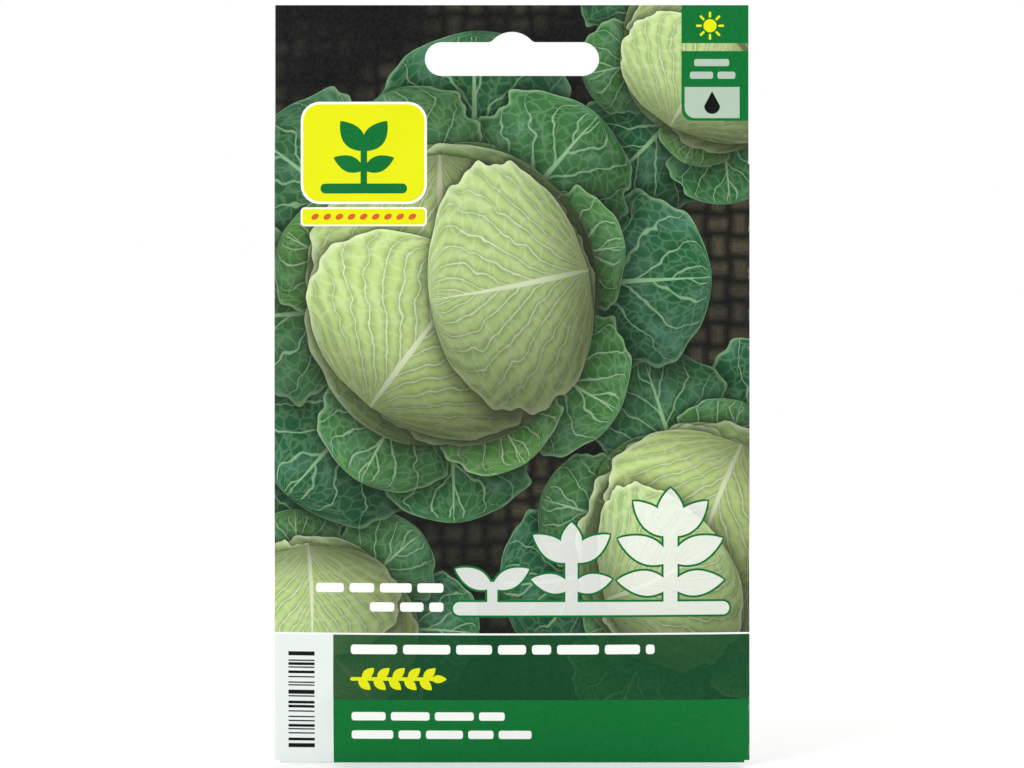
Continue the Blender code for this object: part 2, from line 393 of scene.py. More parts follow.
def rounded_box(
    left: float, low: float, width: float, height: float, radii: Sequence[float] = SQUARE
) -> Points:
    """A box with round corners.

    Args:
        left: its left edge.
        low: its lower edge.
        width: its width.
        height: its height.
        radii: corner radii, lower left, lower right, upper right and upper left.

    Returns:
        Its outline, counter-clockwise.
    """
    right, high = left + width, low + height
    corners = (
        (left, low, 1, 1, 180), (right, low, -1, 1, 270), (right, high, -1, -1, 0), (left, high, 1, -1, 90),
    )
    points: list[tuple[float, float]] = []
    for (x, y, sx, sy, start), radius in zip(corners, radii):
        if radius <= 0:
            points.append((x, y))
            continue
        for step in range(CORNER_STEPS + 1):
            angle = math.radians(start + 90 * step / CORNER_STEPS)
            points.append((x + radius * (sx + math.cos(angle)), y + radius * (sy + math.sin(angle))))
    return np.array(points)


def disc(x: float, y: float, wide: float, high: float, lean: float = 0.0, sides: int = 28) -> Points:
    """A round or oval spot.

    Args:
        x: its middle across.
        y: its middle up the sheet.
        wide: half its width.
        high: half its height.
        lean: how far it leans, in radians.
        sides: how many sides its outline has.

    Returns:
        Its outline, counter-clockwise.
    """
    angle = np.linspace(0, 2 * np.pi, sides, endpoint=False)
    flat = np.column_stack((wide * np.cos(angle), high * np.sin(angle)))
    turn = np.array(((math.cos(lean), math.sin(lean)), (-math.sin(lean), math.cos(lean))))
    return flat @ turn + (x, y)


def capsule(start: Sequence[float], end: Sequence[float], radius: float) -> Points:
    """A bar with round ends.

    Args:
        start: the middle of one end.
        end: the middle of the other.
        radius: half its thickness.

    Returns:
        Its outline, counter-clockwise.
    """
    a, b = np.array(start, float), np.array(end, float)
    heading = math.atan2(*(b - a)[::-1])
    cap = np.linspace(-np.pi / 2, np.pi / 2, CAP_POINTS)
    tip = b + radius * np.column_stack((np.cos(cap + heading), np.sin(cap + heading)))
    tail = a - radius * np.column_stack((np.cos(cap + heading), np.sin(cap + heading)))
    return np.vstack((tip, tail))


def grown(outline: Points, by: float) -> Points:
    """An outline moved outward all round.

    Args:
        outline: points, counter-clockwise.
        by: how far.

    Returns:
        The wider outline.
    """
    before, after = np.roll(outline, 1, axis=0), np.roll(outline, -1, axis=0)
    along = after - before
    along /= np.linalg.norm(along, axis=1, keepdims=True)
    return outline + by * np.column_stack((along[:, 1], -along[:, 0]))


def dense(outline: Points, step: float) -> Points:
    """An outline with points added, so that it bends with the sheet.

    Args:
        outline: its points.
        step: the longest side that it may have.

    Returns:
        The outline with more points.
    """
    points: list[Points] = []
    for a, b in zip(outline, np.roll(outline, -1, axis=0)):
        count = max(1, math.ceil(float(np.linalg.norm(b - a)) / step))
        points += [a + (b - a) * i / count for i in range(count)]
    return np.array(points)


def inside(points: Points, outline: Points) -> np.ndarray:
    """Which points lie inside an outline.

    Args:
        points: the points.
        outline: the closed outline.

    Returns:
        True or False for each point.
    """
    result = np.zeros(len(points), bool)
    low, high = outline.min(0), outline.max(0)
    near = np.flatnonzero(((points >= low) & (points <= high)).all(1))
    if not len(near):
        return result
    x, y = points[near, 0][:, None], points[near, 1][:, None]
    a, b = outline, np.roll(outline, -1, axis=0)
    rise = np.where(b[:, 1] == a[:, 1], 1e-12, b[:, 1] - a[:, 1])
    crosses = (a[:, 1] > y) != (b[:, 1] > y)
    beyond = x < (b[:, 0] - a[:, 0]) * (y - a[:, 1]) / rise + a[:, 0]
    result[near] = (crosses & beyond).sum(1) % 2 == 1
    return result


def clipped(outline: Points, low: Sequence[float], high: Sequence[float]) -> Points:
    """The part of an outline inside a box.

    Args:
        outline: the closed outline.
        low: the box's lowest corner.
        high: its highest corner.

    Returns:
        The clipped outline, which may be empty.
    """
    points = [tuple(p) for p in outline]
    for axis, limit, keep in ((0, low[0], 1), (0, high[0], -1), (1, low[1], 1), (1, high[1], -1)):
        kept: list[tuple[float, float]] = []
        for p, q in zip(points, points[1:] + points[:1]):
            p_in, q_in = (p[axis] - limit) * keep >= 0, (q[axis] - limit) * keep >= 0
            if p_in:
                kept.append(p)
            if p_in != q_in:
                share = (limit - p[axis]) / (q[axis] - p[axis])
                kept.append((p[0] + share * (q[0] - p[0]), p[1] + share * (q[1] - p[1])))
        points = kept
        if not points:
            break
    return np.array(points).reshape(-1, 2)


@dataclass(frozen=True)
class PaintedLight:
    """The light painted on the leaves: each cups along its midrib, and a heart's lie over a dome."""

    heading: float = 2.3
    level: float = 0.92
    cup_across: float = 0.30
    cup_along: float = 0.18
    edge_fall: float = 0.10
    dome_way: tuple[float, float, float] = (-0.42, 0.48, 0.77)
    dome_shade: float = 0.50
    dome_gain: float = 0.58
    base_shade: float = 0.55
    base_reach: float = 2.6


@dataclass
class Leaf:
    """One leaf of the picture, drawn along a bent spine from its base to its tip."""

    base: tuple[float, float]
    tip: tuple[float, float]
    width: float
    age: float
    bend: float = 0.0
    ruffle: float = 0.05
    tint: float = 0.5
    phase: float = 0.0
    dome: tuple[float, float, float] | None = None
    lobes: float = 6.0
    full: float = 0.0
    roundness: float = 0.62
    blunt_tip: float = 5.0
    fullness: float = 1.22
    spine_steps: int = 40
    least_steps: int = 24
    edge_step: float = 0.55
    tip_crowding: float = 1.6
    narrowest: float = 0.15
    lamp: PaintedLight = PaintedLight()

    def __post_init__(self) -> None:
        """Work out the spine."""
        a, b = np.array(self.base), np.array(self.tip)
        self.length = float(np.linalg.norm(b - a))
        side = np.array((-(b - a)[1], (b - a)[0])) / self.length
        middle = (a + b) / 2 + side * self.bend * self.length
        t = np.linspace(0, 1, self.spine_steps + 1)[:, None]
        self.spine = (1 - t) ** 2 * a + 2 * t * (1 - t) * middle + t**2 * b

    def half_width(self, t: Points, side: Points) -> Points:
        """Half the blade's width.

        Args:
            t: shares of its length.
            side: 1 for the left of the spine and -1 for the right.

        Returns:
            The half width at each share.
        """
        t = np.clip(t, 0.0, 1.0)
        smooth = self.fullness * t**self.roundness * (1 - t**self.blunt_tip) ** self.roundness
        smooth += (np.sqrt(1 - (2 * t - 1) ** 2) - smooth) * self.full
        wave = np.sin(2 * np.pi * self.lobes * t + self.phase + 1.3 * side)
        wave = wave + 0.5 * np.sin(2 * np.pi * self.lobes * 2.3 * t + 2 * self.phase + side)
        return 0.5 * self.width * smooth * (1 + self.ruffle * wave * smooth_step(t * 3))

    def outline(self) -> Points:
        """The blade's edge, with its points closest together round the tip.

        Returns:
            Its outline, counter-clockwise.
        """
        steps = max(self.least_steps, int(self.length / self.edge_step))
        t = 1 - (1 - np.linspace(0, 1, steps)) ** self.tip_crowding
        known = np.linspace(0, 1, len(self.spine))
        place = np.column_stack([np.interp(t, known, self.spine[:, i]) for i in (0, 1)])
        along = np.gradient(place, axis=0)
        along /= np.maximum(np.linalg.norm(along, axis=1, keepdims=True), 1e-9)
        normal = np.column_stack((-along[:, 1], along[:, 0]))
        left = place + normal * self.half_width(t, np.ones(steps))[:, None]
        right = place - normal * self.half_width(t, -np.ones(steps))[:, None]
        return np.vstack((right, left[::-1][1:-1]))

    def local(self, points: Points) -> tuple[Points, Points]:
        """Where points lie on the blade.

        Args:
            points: points on it.

        Returns:
            Shares 0 to 1 from base to tip, and -1 to 1 from edge to edge.
        """
        a, b = self.spine[:-1], self.spine[1:]
        run = b - a
        along = np.einsum("pij,ij->pi", points[:, None] - a, run) / (run**2).sum(1)
        along = np.clip(along, 0, 1)
        nearest = a + along[..., None] * run
        gap = points[:, None] - nearest
        distance = np.linalg.norm(gap, axis=2)
        best = distance.argmin(1)
        rows = np.arange(len(points))
        t = (best + along[rows, best]) / len(run)
        side = np.sign(run[best, 0] * gap[rows, best, 1] - run[best, 1] * gap[rows, best, 0])
        wide = np.maximum(self.half_width(t, side), self.narrowest)
        return t, np.clip(side * distance[rows, best] / wide, -1, 1)

    def light(self, points: Points, t: Points, v: Points) -> Points:
        """The painted light on the blade.

        Args:
            points: points on it.
            t: their shares along it.
            v: their shares across it.

        Returns:
            How light each point is, about 1 in full light.
        """
        lamp = self.lamp
        towards = lamp.heading - math.atan2(self.tip[1] - self.base[1], self.tip[0] - self.base[0])
        cup = lamp.cup_across * v * math.sin(towards)
        cup = cup + lamp.cup_along * (1.2 - 2 * t) * math.cos(towards)
        result = lamp.level + cup - lamp.edge_fall * v**2
        if self.dome:
            x, y, radius = self.dome
            nx, ny = (points[:, 0] - x) / radius, (points[:, 1] - y) / radius
            depth = np.sqrt(np.maximum(0.0, 1 - np.minimum(1.0, nx**2 + ny**2)))
            facing = lamp.dome_way[0] * nx + lamp.dome_way[1] * ny + lamp.dome_way[2] * depth
            result *= lamp.dome_shade + lamp.dome_gain * np.maximum(0.0, facing)
        return result * (lamp.base_shade + (1 - lamp.base_shade) * smooth_step(t * lamp.base_reach))


@dataclass
class Head:
    """A leafy head seen from above: long outer leaves, then shorter ones, then the pale wrapped heart."""

    x: float
    y: float
    radius: float
    outer: int
    inner: int
    wraps: int
    seed: int
    breadth: float = 0.86
    shortening: float = 0.42
    stem: float = 0.05
    heart: float = 0.54
    heart_breadth: float = 1.9
    calm: float = 0.45

    def leaves(self) -> list[Leaf]:
        """Draw the leaves, each turned from the last by the golden angle.

        Returns:
            The head's leaves, lowest first.
        """
        draw = random.Random(self.seed)
        turn = math.pi * (3 - math.sqrt(5))
        start = draw.uniform(0, 2 * math.pi)
        made: list[Leaf] = []
        loose = self.outer + self.inner
        for i in range(loose):
            share = i / loose
            angle = start + i * turn + draw.uniform(-0.12, 0.12)
            length = self.radius * (1.0 - self.shortening * share) * draw.uniform(0.94, 1.06)
            age = 0.02 + 0.55 * share**1.3
            made.append(self.leaf(angle, self.stem * self.radius, length, self.breadth, age, draw))
        heart = self.radius * self.heart
        for i in range(self.wraps):
            share = i / max(1, self.wraps - 1)
            reach = heart * (1.04 - 0.10 * share)
            past = reach * (0.98 - 0.80 * share**0.7)
            age = 0.74 + 0.26 * share
            breadth = self.heart_breadth * reach / (reach + past)
            blade = self.leaf(start + i * turn, -reach, past, breadth, age, draw)
            blade.ruffle *= self.calm
            blade.full = 1.0
            blade.dome = (self.x, self.y, heart * 1.1)
            made.append(blade)
        return made

    def leaf(
        self, angle: float, near: float, far: float, breadth: float, age: float, draw: random.Random
    ) -> Leaf:
        """One leaf of the head.

        Args:
            angle: its heading from the head's middle.
            near: distance of its base from the middle, along the heading.
            far: distance of its tip.
            breadth: its width as a share of its length.
            age: 0 for the oldest, bluest leaves and 1 for the palest.
            draw: the head's own random numbers.

        Returns:
            The leaf.
        """
        way = (math.cos(angle), math.sin(angle))
        return Leaf(
            base=(self.x + near * way[0], self.y + near * way[1]),
            tip=(self.x + far * way[0], self.y + far * way[1]),
            width=(far - near) * breadth * draw.uniform(0.94, 1.06),
            age=min(1.0, max(0.0, age + draw.uniform(-0.05, 0.05))),
            bend=draw.uniform(-0.09, 0.09),
            ruffle=draw.uniform(0.035, 0.07),
            tint=draw.random(),
            phase=draw.uniform(0, 2 * math.pi),
            lobes=draw.uniform(3.5, 5.5),
        )


@dataclass
class Printed:
    """One printed shape. A veil lets the picture show through by 1 less its strength."""

    outline: Points
    finish: Finish
    colour: Colour = (1.0, 1.0, 1.0)
    leaf: Leaf | None = None
    veil: float = 0.0

    @property
    def is_picture(self) -> bool:
        """Whether the shape belongs to the picture itself."""
        return self.finish in (Finish.LEAF, Finish.GROUND)


def sprig_leaf(base: tuple[float, float], angle: float, length: float, breadth: float) -> Points:
    """A plain pointed leaf for the small ornaments.

    Args:
        base: its base.
        angle: its heading, in degrees.
        length: its length.
        breadth: its width as a share of its length.

    Returns:
        Its outline, counter-clockwise.
    """
    t = np.linspace(0, 1, 15)
    half = 0.5 * breadth * np.sin(np.pi * t**0.9) ** 0.85
    flat = np.vstack((np.column_stack((t, -half)), np.column_stack((t, half))[::-1][1:-1])) * length
    a = math.radians(angle)
    turn = np.array(((math.cos(a), math.sin(a)), (-math.sin(a), math.cos(a))))
    return flat @ turn + base


@dataclass
class PanelPrint:
    """What one panel's print is laid out with. Distances are in millimetres from its left and top edges."""

    shape: PacketShape
    items: list[Printed]
    word_gap: float = 0.62
    shortest_word: float = 0.8
    word_round: float = 0.3

    @property
    def left(self) -> float:
        """Where the panel's left edge lies across the flat sheet."""
        return -self.shape.width / 2

    def place(self, x: float, y: float) -> tuple[float, float]:
        """A place on the flat sheet, from distances from the panel's left and top edges."""
        return self.left + x, self.shape.top - y

    def box(
        self, x: float, y: float, width: float, height: float, radii: Sequence[float] = SQUARE
    ) -> Points:
        """A box from its left and top edges, with corner radii as rounded_box has them."""
        left, top = self.place(x, y)
        return rounded_box(left, top - height, width, height, radii)

    def spot(self, outline: Points, colour: Colour) -> None:
        """Print a shape in one solid ink."""
        self.items.append(Printed(outline, Finish.SPOT, colour))

    def veil(self, outline: Points, colour: Colour, strength: float) -> None:
        """Print a thin ink over the picture."""
        self.items.append(Printed(outline, Finish.SPOT, colour, veil=strength))

    def bars(
        self, left: float, top: float, width: float, tall: float, colour: Colour, seed: int,
        word: tuple[float, float], align_right: bool = False,
    ) -> None:
        """A line of plain bars that stands where a packet has a line of words.

        Args:
            left: the line's left end.
            top: the bars' top edge.
            width: how wide the line is.
            tall: how tall the bars are.
            colour: their ink.
            seed: for the bars' lengths.
            word: the shortest and longest bar, in bar heights.
            align_right: whether the line's right end is the fixed one.
        """
        draw = random.Random(seed)
        at, ends = 0.0, []
        while at < width:
            long = min(draw.uniform(*word) * tall, width - at)
            if long > self.shortest_word * tall:
                ends.append((at, long))
            at += long + self.word_gap * tall
        slack = width - (ends[-1][0] + ends[-1][1]) if align_right else 0.0
        for start, long in ends:
            x, y = self.place(left + slack + start, top + tall)
            self.spot(rounded_box(x, y, long, tall, (tall * self.word_round,) * 4), colour)


@dataclass
class FrontPrint(PanelPrint):
    """The front panel's print."""

    picture_end: float = 118.7
    rule: float = 0.35
    strip_width: float = 11.25
    dark_band_end: float = 131.4
    tab_left: float = 77.1
    bleed: float = 1.6
    overlap: float = 0.2

    def compose(self) -> None:
        """Print the front, lowest layer first."""
        self.picture()
        self.bands()
        self.tab()
        self.badge()
        self.growth_row()
        self.lines()
        self.scan_bars()

    def picture(self) -> None:
        """The leafy heads on their dark ground, which run on over the folds and under the dark band."""
        s = self.shape
        low = (-s.width / 2 - self.bleed, s.top - self.dark_band_end - self.overlap)
        high = (s.width / 2 + self.bleed, s.top)
        ground = rounded_box(*low, high[0] - low[0], high[1] - low[1])
        self.items.append(Printed(ground, Finish.GROUND))
        heads = (
            Head(*self.place(85, 9), 34, 6, 4, 5, 5),
            Head(*self.place(7, 120), 35, 6, 5, 5, 8),
            Head(*self.place(81, 103), 41, 7, 5, 6, 21),
            Head(*self.place(34, 55), 51, 8, 6, 7, 3),
        )
        for head in heads:
            for leaf in head.leaves():
                outline = clipped(leaf.outline(), low, high)
                if len(outline) > 2:
                    self.items.append(Printed(outline, Finish.LEAF, leaf=leaf))

    def bands(self) -> None:
        """The two green bands, the white strip beside them and the fine rule above."""
        s = self.shape
        wide = s.width + 2 * self.bleed
        dark = self.dark_band_end - self.picture_end
        self.veil(self.box(-self.bleed, self.picture_end, wide, dark), INK_DEEP_GREEN, 0.9)
        low = s.height - self.dark_band_end + math.pi * s.bottom_fold + s.flap_height
        self.spot(self.box(-self.bleed, self.dark_band_end, wide, low), INK_GREEN)
        strip = self.strip_width + self.bleed
        self.spot(self.box(-self.bleed, self.picture_end, strip, dark + low), STRIP_WHITE)
        self.spot(self.box(-self.bleed, self.picture_end, wide, self.rule), INK_WHITE)

    def tab(self) -> None:
        """The green tab in the upper right corner: a sun above, and a pale box with a drop below."""
        wide = self.shape.width - self.tab_left + self.bleed
        self.spot(self.box(self.tab_left, 0, wide, 7.2), INK_GREEN)
        self.spot(self.box(self.tab_left, 8.7, wide, 13.2, (2.2, 0, 0, 0)), INK_GREEN)
        self.spot(self.box(self.tab_left + 0.6, 15.5, 10.4, 5.9, (2.0, 0, 0, 0)), INK_PALE_GREEN)
        x, y = self.place(self.tab_left + 5.4, 3.9)
        self.spot(disc(x, y, 1.25, 1.25), INK_YELLOW)
        for ray in range(8):
            a = math.radians(45 * ray)
            way = np.array((math.cos(a), math.sin(a)))
            self.spot(capsule((x, y) + 1.75 * way, (x, y) + 2.45 * way, 0.22), INK_YELLOW)
        self.bars(self.tab_left + 2.4, 10.2, 7.0, 1.35, INK_PALE_GREEN, 2, (3.0, 5.0))
        self.bars(self.tab_left + 1.6, 12.6, 8.6, 1.35, INK_PALE_GREEN, 5, (2.0, 4.0))
        x, y = self.place(self.tab_left + 5.8, 20.6)
        belly = disc(x, y + 1.5, 1.5, 1.5, sides=24)
        self.spot(np.vstack((belly[12:], belly[:1], [(x, y + 4.3)])), INK_BLACK)

    def badge(self) -> None:
        """The yellow badge: a seedling over its soil, and a row of seeds on the plate below."""
        self.spot(self.box(5.0, 18.3, 23.9, 19.4, (3.6,) * 4), INK_WHITE)
        self.spot(self.box(5.45, 18.75, 23.0, 18.5, (3.2,) * 4), INK_YELLOW)
        x, y = self.place(16.95, 34.2)
        self.spot(rounded_box(x - 8.2, y - 1.5, 16.4, 1.9, (0.9,) * 4), INK_GREEN)
        self.spot(capsule((x, y - 0.2), (x, y + 7.2), 0.62), INK_GREEN)
        for rise, lift, length, breadth in ((3.0, 22, 6.2, 0.5), (6.6, 52, 7.2, 0.56)):
            for angle in (180 - lift, lift):
                self.spot(sprig_leaf((x, y + rise), angle, length, breadth), INK_GREEN)
        self.spot(self.box(5.0, 38.3, 23.9, 3.6, (0.8,) * 4), INK_WHITE)
        self.spot(self.box(5.3, 38.6, 23.3, 3.0, (0.6,) * 4), INK_YELLOW)
        for i in range(9):
            x, y = self.place(7.75 + 2.3 * i, 40.1)
            self.spot(disc(x, y, 0.78, 0.52, 0.5, 18), INK_ORANGE)

    def growth_row(self) -> None:
        """A pale plant on its ground line at three ages, each larger than the last, edged in green."""
        left, ground = self.place(33.9, 115.3)
        plants = (
            (7.4, 5.4, 0.0, ((5.2, 27, 7.8),)),
            (22.3, 11.4, 6.6, ((5.2, 12, 7.8), (10.1, 35, 8.8))),
            (41.0, 16.2, 8.2, ((5.5, 6, 10.2), (10.2, 23, 10.8), (14.9, 43, 9.6))),
        )
        shapes = [rounded_box(left, ground, 52.2, 2.5, (1.25,) * 4)]
        for middle, tall, crown, pairs in plants:
            x = left + middle
            shapes.append(capsule((x, ground + 1.4), (x, ground + tall), 0.75 + 0.035 * tall))
            for rise, lift, length in pairs:
                for angle in (lift, 180 - lift):
                    shapes.append(sprig_leaf((x, ground + rise), angle, length, 0.46))
            if crown:
                shapes.append(sprig_leaf((x, ground + tall - 0.5), 90, crown, 0.6))
        for outline in shapes:
            self.spot(grown(outline, 0.4), INK_GREEN)
        for outline in shapes:
            self.veil(outline, INK_WHITE, 0.72)

    def lines(self) -> None:
        """Plain bars and a sprig where the packet has its words."""
        self.bars(6.9, 109.3, 25.2, 1.75, INK_WHITE, 4, (2.4, 5.0), True)
        self.bars(18.2, 112.9, 13.9, 1.75, INK_WHITE, 9, (2.0, 3.4), True)
        self.bars(14.6, 120.9, 57.3, 1.8, INK_WHITE, 6, (2.0, 5.6))
        x, y = self.place(14.8, 127.4)
        self.spot(capsule((x, y), (x + 15.2, y), 0.34), INK_YELLOW)
        for i in range(5):
            for side in (1, -1):
                base = (x + 1.2 + 2.9 * i + (0.7 if side > 0 else 0.0), y)
                self.spot(sprig_leaf(base, side * 42, 3.1, 0.55), INK_YELLOW)
        self.spot(sprig_leaf((x + 14.9, y), 0, 3.0, 0.5), INK_YELLOW)
        self.bars(14.7, 133.7, 29.9, 1.6, INK_WHITE, 12, (2.6, 5.6))
        self.bars(14.7, 137.2, 34.0, 1.6, INK_WHITE, 15, (2.6, 5.0))

    def scan_bars(self) -> None:
        """Black stripes across the white strip. Their widths are drawn at random and stand for nothing."""
        draw = random.Random(40)
        at, end = 122.3, 139.8
        while at < end:
            thick = draw.choice((0.26, 0.26, 0.52, 0.78))
            self.spot(self.box(2.7, at, 5.0, thick), INK_BLACK)
            at += thick + draw.choice((0.26, 0.26, 0.52, 0.52, 0.78))


@dataclass
class BackPrint(PanelPrint):
    """The back panel's plain print, which the photo doesn't show, laid out as seen from behind."""

    margin: float = 6.0

    @property
    def left(self) -> float:
        """Where the panel's left edge lies across the flat sheet."""
        return self.shape.across_back_left

    @property
    def wide(self) -> float:
        """The panel's width."""
        return self.shape.across_back_right - self.shape.across_back_left

    def compose(self) -> None:
        """Print the back, lowest layer first."""
        s = self.shape
        self.spot(self.box(-1, -1, self.wide + 1, s.top + 2), PAPER_WHITE)
        self.spot(self.box(-1, -1, self.wide + 1, s.header + 1.6), INK_GREEN)
        self.spot(self.box(-1, s.header + 0.6, self.wide + 1, 0.5), INK_YELLOW)
        self.title()
        self.columns()
        self.calendar()
        self.sowing()
        self.foot()

    def title(self) -> None:
        """The title bar and its sprig."""
        self.bars(self.margin, 25.5, 40.0, 3.0, INK_GREEN, 31, (3.0, 5.5))
        x, y = self.place(self.wide - 14, 31.4)
        self.spot(capsule((x, y), (x, y + 5.2), 0.34), INK_GREEN)
        for rise, angle in ((1.6, 150), (1.6, 30), (4.2, 122), (4.2, 58)):
            self.spot(sprig_leaf((x, y + rise), angle, 4.6, 0.5), INK_LEAF)

    def columns(self) -> None:
        """Two columns of fine lines."""
        for side, seed in ((0, 50), (1, 90)):
            left = self.margin + side * (self.wide / 2 - 1.5)
            for row in range(9):
                wide = self.wide / 2 - self.margin - 2.5
                wide *= 0.62 if row in (4, 8) else 1.0
                top = 34.5 + 1.95 * row + (1.2 if row > 4 else 0.0)
                self.bars(left, top, wide, 0.85, INK_DEEP_GREEN, seed + row, (2.0, 8.5))

    def calendar(self) -> None:
        """Twelve months in a row, with bars for sowing, planting out and harvest."""
        left, top, cell, high = self.margin, 58.0, (self.wide - 2 * self.margin) / 12, 3.6
        self.spot(self.box(left, top, 12 * cell, high), INK_GREEN)
        for month in range(12):
            x, y = self.place(left + (month + 0.5) * cell, top + high / 2)
            self.spot(disc(x, y, 0.75, 0.75, sides=14), INK_WHITE)
        rows = ((1.4, 4.6, INK_YELLOW), (3.0, 7.2, INK_LEAF), (5.2, 10.3, INK_ORANGE))
        for row, (first, last, ink) in enumerate(rows):
            y = top + high + 1.0 + row * (high + 0.5)
            self.spot(self.box(left, y + high, 12 * cell, 0.16), INK_PALE_GREEN)
            bar = self.box(left + first * cell, y + 0.5, (last - first) * cell, high - 1.1, (0.8,) * 4)
            self.spot(bar, ink)
        for line in range(13):
            rule = self.box(left + line * cell - 0.08, top + high, 0.16, 3 * high + 2.2)
            self.spot(rule, INK_PALE_GREEN)

    def sowing(self) -> None:
        """A strip of soil with seeds at their depth and seedlings at their spacing."""
        left, top, wide = self.margin, 84.0, self.wide - 2 * self.margin
        self.spot(self.box(left, top + 9.0, wide, 7.6, (1.2, 1.2, 0.4, 0.4)), INK_SOIL)
        for i in range(5):
            x, y = self.place(left + wide * (i + 0.5) / 5, top + 9.0)
            self.spot(disc(x, y - 3.0, 0.8, 0.8, sides=16), INK_YELLOW)
            self.spot(capsule((x, y - 0.3), (x, y + 3.4 + 0.5 * i), 0.3), INK_GREEN)
            for angle in (38, 142):
                self.spot(sprig_leaf((x, y + 2.6 + 0.5 * i), angle, 2.6 + 0.42 * i, 0.52), INK_GREEN)
        for i in range(4):
            a, b = (self.place(left + wide * (i + k) / 5, top + 12.6) for k in (0.72, 1.28))
            self.spot(capsule(a, b, 0.16), INK_WHITE)

    def foot(self) -> None:
        """Fine lines and the blank box that is stamped when the packet is filled."""
        self.spot(self.box(self.wide - 34.5, 106.5, 28.5, 10.0, (0.9,) * 4), INK_GREEN)
        self.spot(self.box(self.wide - 34.15, 106.85, 27.8, 9.3, (0.7,) * 4), INK_WHITE)
        for row in range(5):
            top, wide = 107.0 + 1.95 * row, 24.0 if row == 4 else 39.0
            self.bars(self.margin, top, wide, 0.85, INK_DEEP_GREEN, 130 + row, (2.0, 8.0))


@dataclass
class FlatSheet:
    """The die-cut sheet, divided so that every printed edge is an edge of its mesh."""

    shape: PacketShape
    items: list[Printed]
    spacing: float = 1.15
    clear: float = 0.34
    fold_steps: int = 8
    fold_points: int = 70
    fold_room: float = 0.3

    def __post_init__(self) -> None:
        """Start with no corners and no edges."""
        self.corners: list[tuple[float, float]] = []
        self.edges: list[tuple[int, int]] = []

    def blank(self) -> Points:
        """The die-cut outline.

        Returns:
            Its corners, counter-clockwise from the back panel's lower cut corner.
        """
        s = self.shape
        under = -math.pi * s.bottom_fold
        tip, tip_up = s.flap_half_width(s.flap_height), under - s.flap_height
        return np.array(
            (
                (s.across_back_left, 0), (-s.flap_edge, 0), (-s.flap_edge, under),
                (-tip, tip_up), (tip, tip_up), (s.flap_edge, under), (s.flap_edge, 0),
                (s.across_flap_end, 0), (s.across_flap_end, s.seam_top), (s.x_right, s.seam_top),
                (s.x_right, s.top), (s.across_back_left, s.top),
            )
        )

    def slots(self) -> list[Points]:
        """The two holes that lie over each other once the sheet is folded."""
        behind = self.shape.across_back_right + self.shape.x_left
        return [self.shape.slot_outline(middle) for middle in (0.0, behind)]

    def add_line(self, points: Points, closed: bool = True, keep: np.ndarray | None = None) -> None:
        """Add an outline's points and edges.

        Args:
            points: its points.
            closed: whether the last point joins the first.
            keep: which points show, or None for all. An edge between two that don't is left out.
        """
        first = len(self.corners)
        self.corners += [tuple(p) for p in points]
        count = len(points)
        for i in range(count if closed else count - 1):
            j = (i + 1) % count
            if keep is None or keep[i] or keep[j]:
                self.edges.append((first + i, first + j))

    def add_folds(self) -> None:
        """Add the fold lines, and the lines between them that let each fold be round."""
        s, points = self.shape, self.fold_points
        for step in range(self.fold_steps + 1):
            turn = math.pi * step / self.fold_steps
            left, right = s.x_left - turn * s.left_fold, s.x_right + turn * s.right_fold
            for x, top in ((left, s.top), (right, s.seam_top)):
                up = np.linspace(0, top, points)
                self.add_line(np.column_stack((np.full(points, x), up)), closed=False)
            x = np.linspace(-s.flap_edge, s.flap_edge, points)
            self.add_line(np.column_stack((x, np.full(points, -turn * s.bottom_fold))), closed=False)

    def in_fold(self, x: float, y: float) -> bool:
        """Whether a place is in or beside a fold, whose own lines divide it.

        Args:
            x: the place across the flat sheet.
            y: its height above the bottom fold.

        Returns:
            True for a place that needs no loose point.
        """
        s, room = self.shape, self.fold_room
        beside_left = s.across_back_right - room < x < s.x_left + room
        beside_right = s.x_right - room < x < s.across_flap_start + room
        return beside_left or beside_right or -math.pi * s.bottom_fold - room < y < room

    def add_grid(self) -> None:
        """Add loose points all over, so that the sheet can bend, but none beside an outline's own points."""
        s = self.shape
        tree = kdtree.KDTree(len(self.corners))
        for i, (x, y) in enumerate(self.corners):
            tree.insert((x, y, 0), i)
        tree.balance()
        low, high = self.blank().min(0), self.blank().max(0)
        for row in range(int((high[1] - low[1]) / self.spacing)):
            for column in range(int((high[0] - low[0]) / self.spacing)):
                x = low[0] + (column + 0.5 + 0.5 * (row % 2)) * self.spacing
                y = low[1] + (row + 0.5) * self.spacing
                if not self.in_fold(x, y) and tree.find((x, y, 0))[2] > self.clear:
                    self.corners.append((x, y))

    def divide(self) -> tuple[Points, np.ndarray]:
        """Divide the sheet into triangles along every visible printed edge.

        Returns:
            The corners on the flat sheet, and the triangles.
        """
        self.add_line(dense(self.blank(), self.spacing))
        for slot in self.slots():
            self.add_line(dense(slot, self.spacing))
        self.add_folds()
        for number, item in enumerate(self.items):
            outline = clipped(item.outline, self.blank().min(0), self.blank().max(0))
            if len(outline) < 3:
                continue
            outline = dense(outline, self.spacing)
            hidden = np.zeros(len(outline), bool)
            for other in self.items[number + 1 :]:
                if item.is_picture and not other.veil:
                    hidden |= inside(outline, other.outline)
            self.add_line(outline, keep=~hidden)
        self.add_grid()
        flat = [Vector(p) for p in self.corners]
        found = geometry.delaunay_2d_cdt(flat, self.edges, [], 0, 1e-5, False)
        corners = np.array([tuple(p) for p in found[0]])
        triangles = np.array([f for f in found[2] if len(f) == 3])
        middles = corners[triangles].mean(1)
        keep = inside(middles, self.blank())
        for slot in self.slots():
            keep &= ~inside(middles, slot)
        triangles = triangles[keep]
        used, triangles = np.unique(triangles, return_inverse=True)
        return corners[used], triangles.reshape(-1, 3)


